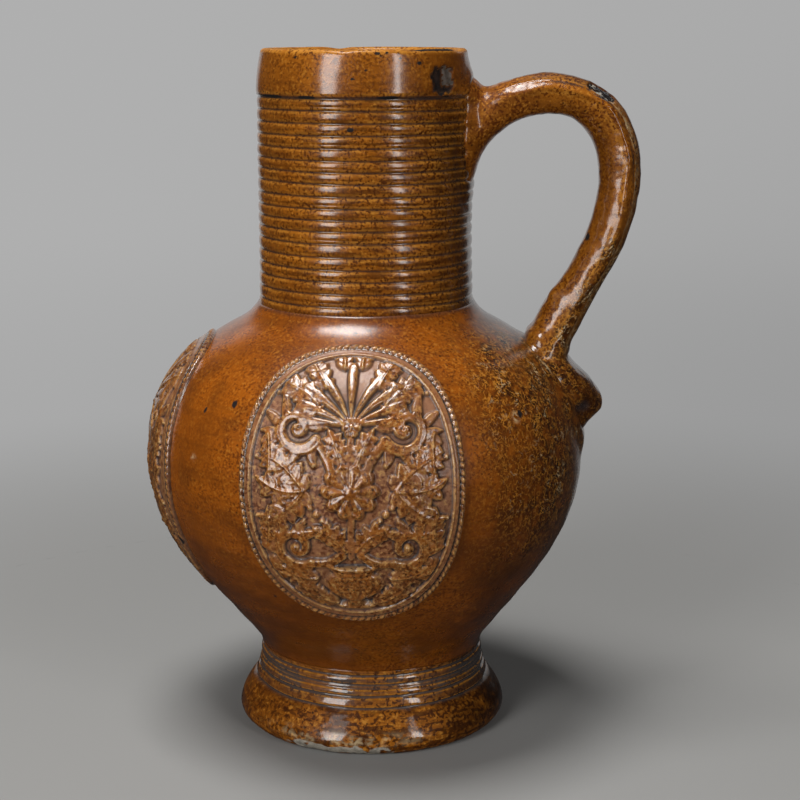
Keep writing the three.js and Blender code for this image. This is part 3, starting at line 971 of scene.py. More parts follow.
@dataclass
class Belly:
    """The thrown round belly, with shallow throwing ridges and a thick shoulder."""

    form: JugForm
    around: int = 384
    outer_rows: int = 196
    inner_rows: int = 44
    screw: float = 9.0
    marked_radius: float = 70.0
    pale_spots: tuple[Mark, ...] = (
        (-42.0, 121.6, 1.0),
        (-134.6, 107.9, 0.6),
        (-14.0, 133.0, 0.9),
    )
    dark_spots: tuple[Mark, ...] = (
        (-40.1, 122.3, 1.2),
        (-124.1, 126.8, 1.1),
        (-134.1, 123.3, 0.8),
        (-7.8, 137.2, 1.0),
        (-11.5, 131.8, 1.1),
        (-22.3, 141.8, 1.1),
    )
    clay: Clay = field(default_factory=lambda: Clay(37))

    def inner_outline(self) -> Array:
        """The inside, from the neck's seam down to the foot's.

        Returns:
            Radii and heights, one point a row.
        """
        form = self.form
        outline = form.belly_outline(90)
        along = np.gradient(outline, axis=0)
        along /= np.linalg.norm(along, axis=1, keepdims=True)
        moved = outline + np.stack([-along[:, 1], along[:, 0]], 1) * form.wall
        low_bore, high_bore = form.waist_radius - form.wall, form.neck_bore
        keep = (moved[:, 1] > form.waist_z + 7) & (moved[:, 1] < form.neck_z - 9.5)
        body = moved[keep & (moved[:, 0] > low_bore)]
        throat = [(high_bore, form.neck_z - 7), (high_bore, form.neck_z)]
        path = np.concatenate([[(low_bore, form.waist_z)], body, throat])
        return evenly(path, self.inner_rows)[::-1]

    def throwing(self, turn: Array, z: Array) -> Array:
        """The potter's shallow finger ridges, which climb as a screw."""
        climb = z + turn / (2 * math.pi) * self.screw
        strength = 0.05 + 0.06 * smooth(80.0, 40.0, z)
        return strength * np.sin(climb * 2 * math.pi / self.screw) * smooth(30.0, 36.0, z)

    def build(self, handle: "Handle") -> Skin:
        """Builds the mesh.

        Args:
            handle: the handle, whose root the clay is drawn up to.

        Returns:
            The belly, with what its glaze is told.
        """
        seam, top = self.form.waist_z, self.form.neck_z
        profile = np.concatenate([self.form.belly_outline(self.outer_rows), self.inner_outline()])
        wall = ThrownWall(profile, self.around, slice(0, self.outer_rows))
        turn, z, outer = wall.turn, wall.z, wall.outer
        wall.roughen(self.clay, around_axis(wall.radius, turn, z) / 17.0, 3)
        calm = smooth(seam, seam + 4.5, z) * smooth(top, top - 4.0, z)
        wall.radius += outer * (self.form.swell(turn, z) + 0.14 * wall.uneven * calm)
        wall.radius += outer * self.throwing(turn, z) * calm
        wall.radius -= (1 - outer) * 0.35 * np.sin((z + turn * 1.4) * 0.9) * calm
        skin = wall.skin(self.form, closed=True)
        draw_up(skin, handle, outer.ravel() > 0, 1.7, 3.6)
        self.tell(skin, wall)
        return skin

    def tell(self, skin: Skin, wall: ThrownWall) -> None:
        """Tells the glaze where the fire drew tiger skin, pools and speckle, and where shade is painted low
        down and on the right.

        Args:
            skin: the belly.
            wall: its surface, row by row.
        """
        turn, z, outer, uneven = wall.turn, wall.z, wall.outer, wall.uneven
        drawn = sector(turn, -14.0, 0.66) + 0.6 * sector(turn, 38.0, 0.6, 2)
        high = smooth(58.0, 80.0, z) * smooth(152.0, 142.0, z)
        skin.tell("tiger", drawn * high * (0.95 + 0.5 * uneven) * outer)
        runs = sector(turn, -24.0, 0.42) * smooth(84.0, 100.0, z)
        skin.tell("runs", runs * outer * smooth(146.0, 138.0, z) * (0.7 + 0.6 * uneven))
        # painted shade: the lower belly and its right side, turned from the lamps, are darkened
        low_right = sector(turn, -20.0, 0.75) * smooth(100.0, 70.0, z) * (0.65 + 0.4 * uneven)
        low_all = 0.5 * smooth(82.0, 44.0, z)
        far_right = 0.5 * sector(turn, 12.0, 0.8)
        skin.tell("painted_shade", np.maximum(low_right, np.maximum(low_all, far_right)) * outer)
        shoulder = smooth(104.0, 140.0, z) * (0.5 + 0.5 * np.cos(away(turn, math.radians(-50))))
        skin.tell("mottle", (shoulder + 0.3 * uneven) * outer)
        skin.tell("hollow", smooth(1.6, 0.0, self.form.neck_z - z) * 0.6 * outer)
        skin.tell("hollow", (1 - outer) * 0.35)
        for told, marks in (("pale", self.pale_spots), ("stain", self.dark_spots)):
            for facing, height, size in marks:
                across = away(turn, math.radians(facing)) * self.marked_radius
                skin.tell(told, spot(across, z - height, size, size * 1.4) * outer * 0.95)


@dataclass
class Neck:
    """The tall thrown neck with its turned ribs, plain collar and worn lip."""

    form: JugForm
    groove_heights: tuple[float, ...] = (
        *(155.5, 159.8, 164.0, 168.0, 172.3, 176.8, 180.8, 184.5, 188.2),
        *(192.2, 196.5, 200.4, 204.2, 208.2, 212.3, 216.2, 220.3, 224.3),
    )
    groove_depth: float = 0.72
    collar_z: float = 225.0
    collar_radius: float = 36.0
    around: int = 256
    drum_rows: int = 282
    collar_rows: int = 51
    picture_middle: float = 363.0
    picture_radius: float = 105.0
    flake_pixel: float = 441.0
    flake_z: float = 230.4
    pit_pixel: float = 352.0
    pit_z: float = 214.6
    specks: tuple[Mark, ...] = (
        (-84.0, 233.8, 0.45),
        (-66.0, 237.6, 0.5),
        (-124.0, 237.9, 0.5),
        (-91.0, 231.0, 0.5),
        (-55.0, 236.0, 0.7),
        (-78.0, 239.2, 0.6),
        (-73.0, 239.4, 0.5),
    )
    clay: Clay = field(default_factory=lambda: Clay(41))

    def outline(self) -> Array:
        """The outside without its ribs, then the lip and the inside, closed on itself.

        Returns:
            Radii and heights, one point a row.
        """
        collar, rim, bore = self.collar_z, self.form.rim_z, self.form.neck_bore
        brow, crest = (35.75, rim - 1.5), (34.0, rim)
        low = np.linspace(self.form.neck_z, collar - 0.4, self.drum_rows)
        drum = np.stack([self.form.neck_at(low), low], 1)
        band = bezier([(37.3, collar + 0.1), (37.25, collar + 6.0), brow], 34)
        lip = bezier([brow, (35.4, rim), crest], 9)[1:]
        inner_lip = bezier([crest, (32.0, rim - 0.1), (bore, rim - 2.5)], 9)[1:]
        inside = np.linspace([bore, rim - 4.0], [bore, self.form.neck_z], 40)
        return np.concatenate([drum, band, lip, inner_lip, inside])

    def ribs(self, turn: Array, z: Array) -> tuple[Array, Array]:
        """How far the ribs fall away from the outline.

        Args:
            turn: angles round the neck.
            z: heights.

        Returns:
            The depth in millimetres, and the share of a rib from its lower groove to its upper.
        """
        level = z + 0.22 * np.sin(turn + 0.6) + 0.12 * np.sin(2 * turn + z * 0.21)
        grooves = np.array((self.form.neck_z - 1.5,) + self.groove_heights)
        index = np.clip(np.searchsorted(grooves, level) - 1, 0, len(grooves) - 2)
        share = np.clip((level - grooves[index]) / (grooves[index + 1] - grooves[index]), 0.0, 1.0)
        depth = self.groove_depth * np.abs(2 * share - 1) ** 3.2
        second = 0.16 * hump(0.34, 0.09, share) * (0.5 + 0.5 * np.sin(index * 2.3))
        return depth + second, share

    def build(self, handle: "Handle") -> Skin:
        """Builds the mesh.

        Args:
            handle: the handle, whose root is smeared over the ribs.

        Returns:
            The neck, with what its glaze is told.
        """
        seam, collar, rim = self.form.neck_z, self.collar_z, self.form.rim_z
        wall = ThrownWall(self.outline(), self.around, slice(0, self.drum_rows + self.collar_rows))
        turn, z, outer = wall.turn, wall.z, wall.outer
        ribbed = smooth(collar + 0.2, collar - 0.5, z) * outer
        depth, rib = self.ribs(turn, z)
        wall.roughen(self.clay, around_axis(2.2, turn, z / 16), 4)
        uneven = wall.uneven
        wall.radius -= depth * ribbed * (0.9 + 0.25 * uneven)
        wall.radius += outer * (self.form.swell(turn, z) + 0.1 * uneven * smooth(seam, seam + 3.0, z))
        tucked = smooth(collar + 1.4, collar, z) * smooth(collar - 0.1, collar + 0.3, z)
        wall.radius -= outer * 0.25 * tucked
        wall.radius += (1 - outer) * 0.18 * np.sin(z * 1.1 + turn)
        chips = self.lip_chips(turn)
        top = smooth(rim - 2.3, rim, z)
        wall.z -= top * (0.03 + 0.12 * np.clip(uneven + 0.3, 0, 1.3) + chips)
        wall.radius -= outer * top * chips * 0.6
        broken = self.broken_patch(turn, wall.z, uneven) * outer
        facets = np.sin(self.past_flake(turn) * 58.0 + 0.5 * wall.z)
        wall.radius -= broken * (1.15 + 0.8 * uneven + 0.3 * facets)
        skin = wall.skin(self.form, closed=True)
        draw_up(skin, handle, outer.ravel() > 0, 0.9, 2.0)
        self.tell(skin, wall, rib)
        self.tell_flaws(skin, wall, broken)
        return skin

    def past_flake(self, turn: Array) -> Array:
        """Angles from the middle of the flake lost from the collar."""
        return away(turn, view_turn(self.flake_pixel, self.picture_middle, self.picture_radius))

    def lip_chips(self, turn: Array) -> Array:
        """How far small chips cut into the lip."""
        depth = np.zeros_like(turn)
        for facing, width, deep in ((-58, 0.09, 0.4), (-96, 0.12, 0.3), (-20, 0.12, 0.5), (110, 0.1, 0.6)):
            depth += deep * sector(turn, facing, width, 2)
        return depth

    def broken_patch(self, turn: Array, z: Array, uneven: Array) -> Array:
        """The flake lost from the collar beside the handle."""
        across = self.past_flake(turn) * self.collar_radius
        corner = np.abs(across / 4.7) ** 3 + np.abs((z - self.flake_z) / 4.5) ** 3
        lobes = 0.13 * np.sin(across * 1.5 + 1.0) * np.sin(z * 1.2) + 0.3 * uneven
        return smooth(1.1, 0.8, corner ** (1 / 3) + lobes)

    def tell(self, skin: Skin, wall: ThrownWall, rib: Array) -> None:
        """Tells the glaze where it pooled in grooves, broke on ribs, mottled and wore off the lip, and where
        shade is painted on the right of the ribs.

        Args:
            skin: the neck.
            wall: its surface, row by row.
            rib: the share of a rib at each place.
        """
        turn, z, outer, uneven = wall.turn, wall.z, wall.outer, wall.uneven
        collar, rim = self.collar_z, self.form.rim_z
        ribbed = smooth(collar + 0.4, collar - 0.6, z) * outer
        from_crest = np.abs(2 * rib - 1)
        skin.tell("hollow", smooth(0.8, 0.94, from_crest) * 0.9 * ribbed)
        rounded = hump(0.62, 0.17, from_crest)
        skin.tell("ridge", (0.62 * rounded + 0.1) * ribbed * (0.8 + 0.7 * uneven))
        # painted shade on the right of the ribbed neck, beside the handle
        shaded = sector(turn, -4.0, 0.72) * smooth(collar + 1.0, collar - 17.0, z)
        skin.tell("painted_shade", shaded * (1.0 + 0.3 * uneven) * outer)
        skin.tell("hollow", (1 - outer) * 0.3)
        mottled = 0.55 + 0.45 * np.cos(away(turn, math.radians(-50))) + 0.3 * uneven
        calmer = 1.0 - 0.55 * smooth(collar, collar + 4.0, z)
        skin.tell("mottle", mottled * calmer * outer * smooth(rim - 0.5, collar + 1.0, z))
        skin.tell("hollow", hump(collar - 0.25, 0.5, z) * outer)
        skin.tell("ridge", hump(collar + 1.0, 0.5, z) * outer * (0.5 + 0.6 * uneven))
        under_collar = hump(collar - 0.05, 0.62, z) * outer
        for facing, width in ((-144.0, 0.38), (-116.0, 0.1), (-74.0, 0.13), (-44.0, 0.2), (60.0, 0.3)):
            skin.tell("stain", under_collar * sector(turn, facing, width) * (0.75 + 0.7 * uneven))
        lip = smooth(rim - 1.9, rim - 0.7, z)
        skin.tell("ridge", lip * 0.9 * outer)
        skin.tell("worn", lip * 0.9)
        skin.tell("stain", smooth(rim - 1.2, rim - 0.4, z) * sector(turn, -42.0, 0.42) * 0.75)

    def tell_flaws(self, skin: Skin, wall: ThrownWall, broken: Array) -> None:
        """Tells the glaze of the collar's flake, with painted shade in its left and lower part, and of iron
        specks.

        Args:
            skin: the neck.
            wall: its surface, row by row.
            broken: the flake's share at each place.
        """
        turn, z, outer, uneven = wall.turn, wall.z, wall.outer, wall.uneven
        across = self.past_flake(turn) * self.collar_radius
        # painted shade inside the flake: its left and lower part and thin veins are darkened with the iron
        # and pool colours; the rest shows bare clay
        veins = np.abs(np.sin(across * 1.5 + 0.9 * np.sin(z * 1.3) + 2.0 * uneven))
        low = smooth(self.flake_z - 1.2, self.flake_z - 3.0, z)
        flake_shade = smooth(0.8, -1.2, across) + low + smooth(0.8, 0.5, broken)
        flake_shade = np.clip(flake_shade + 0.8 * smooth(0.3, 0.1, veins), 0.0, 1.0)
        skin.tell("stain", smooth(0.1, 0.4, broken) * flake_shade * 0.55)
        skin.tell("hollow", smooth(0.1, 0.4, broken) * flake_shade)
        skin.tell("bare", smooth(0.3, 0.8, broken) * (1.0 - flake_shade))
        radius = self.form.neck_radius
        pit = view_turn(self.pit_pixel, self.picture_middle, self.picture_radius)
        skin.tell("stain", spot(away(turn, pit) * radius, z - self.pit_z, 1.3, 0.8) * outer)
        for facing, height, size in self.specks:
            across = away(turn, math.radians(facing)) * radius
            skin.tell("stain", spot(across, z - height, 1.6 * size, size) * outer)


@dataclass
class Handle:
    """The pulled strap handle: pressed on the neck, turned down to the belly, its end a lug."""

    form: JugForm
    width: float = 19.0
    rings: int = 420
    sides: int = 132
    lump_place: Place = (64.8, -5.0, 157.5)
    lump_size: Place = (3.0, 4.5, 3.0)
    flake_place: Place = (81.5, -4.0, 226.0)
    flake_size: Place = (6.2, 4.6, 4.6)
    dent_place: Place = (76.5, 9.0, 117.5)
    dent_size: Place = (3.4, 5.0, 2.6)
    iron_spots: tuple[tuple[Place, float], ...] = (
        ((76.6, -4.5, 176.6), 1.8),
        ((80.2, -5.0, 199.5), 0.8),
        ((83.8, -2.0, 113.5), 2.2),
    )
    clay: Clay = field(default_factory=lambda: Clay(53))
    surface: "BVHTree | None" = None

    def on_belly(self, z: float, proud: float) -> tuple[float, float]:
        """A place at a height that stands so far proud of the belly, in the handle's plane."""
        return float(self.form.belly_at(np.array(z))) + proud, z

    def stations(self) -> Array:
        """Where the strap goes.

        Returns:
            Rows of the outer edge's x and z, the inner edge's x and z, a share of the width, and
            how far the outer side is pinched.
        """
        on = self.on_belly
        rows = [
            ((33.4, 234.0), (33.4, 184.4), 1.2, 0.0),
            ((37.9, 230.2), (37.5, 195.5), 1.15, 0.0),
            ((41.9, 227.5), (41.6, 206.3), 1.08, 0.0),
            ((48.4, 229.5), (48.6, 213.2), 1.02, 0.0),
            ((57.0, 231.6), (57.5, 217.1), 0.98, 0.0),
            ((66.0, 232.1), (65.5, 217.8), 0.98, 0.0),
            ((77.8, 229.1), (71.8, 216.4), 0.98, 0.0),
            ((88.1, 221.6), (77.0, 211.2), 0.98, 0.0),
            ((94.0, 209.6), (79.9, 204.3), 0.98, 0.0),
            ((95.5, 198.1), (80.8, 195.7), 0.98, 0.0),
            ((94.2, 185.9), (79.5, 187.1), 0.98, 0.0),
            ((90.3, 173.3), (76.6, 177.1), 0.98, 0.0),
            ((82.9, 159.3), (71.2, 165.9), 0.98, 0.0),
            (on(146.5, 31.8), on(152.9, 24.3), 1.0, 0.0),
            (on(138.8, 15.4), on(145.4, 12.2), 1.12, 0.0),
            (on(136.0, 11.4), on(142.6, 5.0), 1.28, 0.0),
            (on(134.0, 8.8), on(136.0, -4.0), 1.42, 0.05),
            (on(130.5, 8.2), on(127.0, -5.0), 1.5, 0.15),
            (on(125.5, 10.2), on(119.0, -5.0), 1.44, 0.3),
            (on(119.4, 11.2), on(112.6, -5.0), 1.26, 0.45),
            (on(115.2, 9.8), on(109.0, -5.0), 1.06, 0.5),
            (on(111.6, 5.2), on(105.5, -4.0), 0.86, 0.42),
            (on(106.4, 0.2), on(102.0, -3.0), 0.6, 0.3),
        ]
        return np.array([[*outer, *inner, width, pinch] for outer, inner, width, pinch in rows])

    def pulled(self) -> tuple[Array, Array, Array, Array, Array]:
        """The strap as it was pulled, before hands and fire marked it.

        Returns:
            Its points and the middle of the section at each, one a row. Then for each point its share
            of the strap's length, its place from the inner face at -1 to the outer face at 1, and its
            place from side to side.
        """
        rails = evenly(spline(self.stations(), 900), self.rings)
        along = np.linspace(0, 1, self.rings)[:, None].repeat(self.sides, 1)
        turn = np.linspace(0, 2 * math.pi, self.sides, endpoint=False)[None, :].repeat(self.rings, 0)
        middle = (rails[:, 0:2] + rails[:, 2:4])[:, None, :] / 2
        half = (rails[:, 0:2] - rails[:, 2:4])[:, None, :] / 2
        squared = 1.0 - 0.18 * smooth(0.08, 0.16, along)
        across = np.sign(np.cos(turn)) * np.abs(np.cos(turn)) ** squared
        aside = np.sign(np.sin(turn)) * np.abs(np.sin(turn)) ** squared
        strap = smooth(0.09, 0.2, along) * smooth(0.8, 0.7, along)
        bead = hump(0.62, 0.16, np.abs(aside)) * smooth(0.0, 0.7, across)
        furrow = 0.95 * bead * strap + 0.22 * strap * smooth(0.5, 1.0, -across)
        out = across * (1 - furrow / np.maximum(np.linalg.norm(half, axis=2), 1.0))
        narrowed = 1 - rails[:, 5:6] * np.clip(across, 0, 1)
        wedge = 1 - strap * (0.03 + 0.24 * smooth(0.4, -1.0, across))
        proud = strap * self.side_ribs(along, across) * smooth(0.2, 0.6, np.abs(aside))
        x = middle[..., 0] + half[..., 0] * out
        y = rails[:, 4:5] * self.width / 2 * aside * narrowed * wedge + np.sign(aside) * proud
        z = middle[..., 1] + half[..., 1] * out
        centres = np.stack([middle[..., 0] + 0 * x, 0 * x, middle[..., 1] + 0 * x], -1)
        points = np.stack([x, y, z], -1)
        return points.reshape(-1, 3), centres.reshape(-1, 3), along.ravel(), across.ravel(), aside.ravel()

    def side_ribs(self, along: Array, across: Array) -> Array:
        """How far the ribs on the strap's sides stand out; the middle one wanders."""
        upper = smooth(0.62, 0.45, along)
        swing = 0.08 * np.sin(along * 23.0) + 0.04 * np.sin(along * 61.0 + 1.0)
        middle_rib = (0.35 + 0.35 * upper) * hump(swing, 0.17, across - 0.38)
        return middle_rib + upper * (0.25 * hump(0.83, 0.08, across) - 0.3 * hump(0.66, 0.07, across))

    def build(self) -> Skin:
        """Builds the mesh and keeps its surface for the walls that are drawn up to it.

        Returns:
            The handle, with what its glaze is told.
        """
        points, centres, along, across, aside = self.pulled()
        uneven = self.clay.layered(points / 11.0)
        fine = self.clay.layered(points / 3.2 + 9, 2)
        outward = points - centres
        outward /= np.maximum(np.linalg.norm(outward, axis=1, keepdims=True), 1e-6)
        points = points + outward * (0.26 * uneven + 0.07 * fine)[:, None]
        chip = self.flake(points)
        points = points - outward * (chip * (1.1 + 0.7 * fine))[:, None]
        lump = np.exp(-reach_from(points, self.lump_place, self.lump_size))
        points = points + outward * (lump * 1.5)[:, None]
        dent = self.thumb_dent(points)
        points[:, 1] += np.sign(-points[:, 1]) * dent * 2.6
        points[:, 0] -= dent * 1.2
        points = self.sunk(self.flared(points))
        faces = round_grid(self.rings, self.sides, False)[:, ::-1].tolist()
        last = (self.rings - 1) * self.sides
        faces.append(list(range(self.sides)))
        faces.append([last + k for k in reversed(range(self.sides))])
        skin = Skin(points, np.array(faces, dtype=object))
        self.surface = BVHTree.FromPolygons(points.tolist(), faces)
        speckled = self.clay.layered(points * 0.55 + 3.0, 2)
        self.tell_strap(skin, along, across, aside, uneven, speckled)
        self.tell_flaws(skin, uneven, speckled, chip, dent)
        return skin

    def flared(self, points: Array) -> Array:
        """Spreads the strap sideways where it nears a wall, as thumbs do when they press it on.

        Args:
            points: places on the strap.

        Returns:
            The moved points.
        """
        radius = np.hypot(points[:, 0], points[:, 1])
        z = points[:, 2]
        belly = self.form.belly_at(np.clip(z, 30.0, 152.9))
        above = np.where(z < 158.0, radius - belly, radius - self.form.neck_at(z))
        near = smooth(6.0, -0.5, above) ** 2
        moved = points.copy()
        thumbed = 1.0 + 0.55 * self.clay.layered(np.stack([z * 0.16, np.sign(points[:, 1]), z * 0.05], 1), 2)
        moved[:, 1] += np.tanh(points[:, 1] / 3.0) * near * 2.6 * thumbed * smooth(104.0, 116.0, z)
        return moved

    def sunk(self, points: Array) -> Array:
        """Keeps the ends inside the walls they are pressed on, no deeper than the walls' middle.

        Args:
            points: places on the strap.

        Returns:
            The moved points.
        """
        radius = np.hypot(points[:, 0], points[:, 1])
        z = points[:, 2]
        belly = self.form.belly_at(np.clip(z, 30.0, 152.9)) - 3.2
        neck = self.form.neck_at(z) - 3.0
        least = np.where(z < 150.0, belly, neck)
        scale = np.where((radius < least) & (z < 236), least / np.maximum(radius, 1e-6), 1.0)
        moved = points.copy()
        moved[:, :2] *= scale[:, None]
        return moved

    def flake(self, points: Array) -> Array:
        """The dark flake lost from the strap's outer top."""
        return smooth(1.15, 0.75, reach_from(points, self.flake_place, self.flake_size))

    def thumb_dent(self, points: Array) -> Array:
        """The small deep dents where the lug was pinched, one on each side."""
        return np.exp(-reach_from(np.abs(points), self.dent_place, self.dent_size) * 1.3)

    def tell_strap(
        self, skin: Skin, along: Array, across: Array, aside: Array, uneven: Array, fine: Array
    ) -> None:
        """Tells the glaze where it ran pale, broke on edges and mottled, and where shade is painted on its
        inner face, its lower outer edge and its lug.

        Args:
            skin: the handle.
            along: each point's share of the strap's length.
            across: its place from the inner face to the outer one.
            aside: its place from side to side.
            uneven: the clay's broad unevenness there.
            fine: its fine unevenness.
        """
        strap = smooth(0.12, 0.26, along) * smooth(0.84, 0.72, along)
        side = smooth(0.25, 0.5, np.abs(aside)) * strap
        drawn = self.clay.layered(np.stack([along * 26.0, across * 7.0 + 40.0, np.sign(aside) * 3.0], -1))
        broken_up = smooth(-0.25, 0.2, drawn + 0.6 * fine)
        upper = smooth(0.56, 0.4, along)
        above_lug = smooth(0.84, 0.77, along)
        skin.tell("ridge", side * hump(0.16, 0.12, across) * 0.8 * broken_up)
        skin.tell("ridge", side * hump(0.82, 0.08, across) * 0.8)
        skin.tell("hollow", side * hump(0.64, 0.07, across) * 0.9 * upper * broken_up)
        # darkens the strap's whole outer face with the pool colour
        skin.tell("hollow", smooth(0.88, 0.99, across) * strap * 0.75)
        skin.tell("hollow", hump(0.6, 0.13, np.abs(aside)) * smooth(0.2, 0.7, across) * strap * 0.6)
        pale = hump(0.8, 0.08, across) * smooth(0.26, 0.36, along)
        skin.tell("pale", side * pale * broken_up * (0.35 + 0.6 * upper))
        lower = smooth(0.45, 0.58, along) * smooth(-0.35, 0.2, across)
        skin.tell("runs", lower * above_lug * (0.7 + 0.6 * uneven))
        skin.tell("worn", lower * above_lug * 0.45)
        arch = smooth(0.3, 0.22, along) * (0.45 + 0.5 * fine + 0.3 * uneven)
        skin.tell("worn", arch * smooth(0.0, 0.05, along))
        edge_low = smooth(0.48, 0.6, along) * smooth(0.0, 0.4, across) * above_lug
        run = smooth(0.1, 0.035, np.abs(drawn + 0.2 * fine)) * smooth(-0.3, 0.2, uneven + 0.3 * fine)
        skin.tell("pale", edge_low * run * 0.9)
        skin.tell("tiger", smooth(0.46, 0.6, along) * smooth(-0.35, 0.25, across) * (0.95 + 0.5 * uneven))
        skin.tell("tiger", smooth(0.76, 0.83, along) * (0.7 + 0.5 * uneven))
        skin.tell("mottle", 0.6 + 0.5 * uneven)
        # painted shade on the strap's lower outer edge, its inner face and its lug
        inner = smooth(-0.1, -0.45, across) * smooth(0.2, 0.3, along) * smooth(0.86, 0.8, along)
        skin.tell("painted_shade", edge_low * (0.5 + 0.5 * uneven))
        skin.tell("painted_shade", inner * 0.45)
        skin.tell("painted_shade", smooth(0.81, 0.88, along) * (0.72 + 0.6 * uneven))

    def tell_flaws(self, skin: Skin, uneven: Array, fine: Array, chip: Array, dent: Array) -> None:
        """Tells the glaze of the flake, the painted shade in the thumb dents and the iron spots.

        Args:
            skin: the handle.
            uneven: the clay's broad unevenness at each point.
            fine: its fine unevenness, which breaks the flake's bare clay up.
            chip: the flake's share.
            dent: the dents' share.
        """
        skin.tell("stain", chip * (0.62 + 0.5 * uneven))
        skin.tell("bare", chip * smooth(0.0, 0.5, fine) * 0.7)
        # painted shade: the thumb dents are darkened with the iron and pool colours
        skin.tell("stain", smooth(0.5, 0.9, dent))
        skin.tell("hollow", smooth(0.12, 0.6, dent))
        for centre, size in self.iron_spots:
            near = np.linalg.norm(skin.points - np.array(centre), axis=1)
            skin.tell("stain", hump(0.0, size, near) * 1.1)


def draw_up(skin: Skin, handle: Handle, chosen: Array, height: float, reach: float) -> None:
    """Raises a wall where the handle meets it, as slip does when it is smoothed round a joint.

    Args:
        skin: the wall, changed in place.
        handle: the handle, already built.
        chosen: which of the wall's points are on its outside.
        height: how far the wall rises where they touch.
        reach: how far out the rise fades.
    """
    near = chosen & (skin.points[:, 0] > 20.0) & (np.abs(skin.points[:, 1]) < 26.0)
    raised = np.zeros(len(skin.points))
    for index in np.nonzero(near)[0]:
        point = Vector(skin.points[index])
        found = handle.surface.find_nearest(point, reach * 3.0)
        if found[0] is None:
            continue
        raised[index] = math.exp(-((found[3] / reach) ** 2))
    outward = skin.points * np.array([1.0, 1.0, 0.0])
    outward /= np.maximum(np.linalg.norm(outward, axis=1, keepdims=True), 1e-6)
    skin.points = skin.points + outward * (raised * height)[:, None]
    skin.tell("mottle", raised * 0.5)


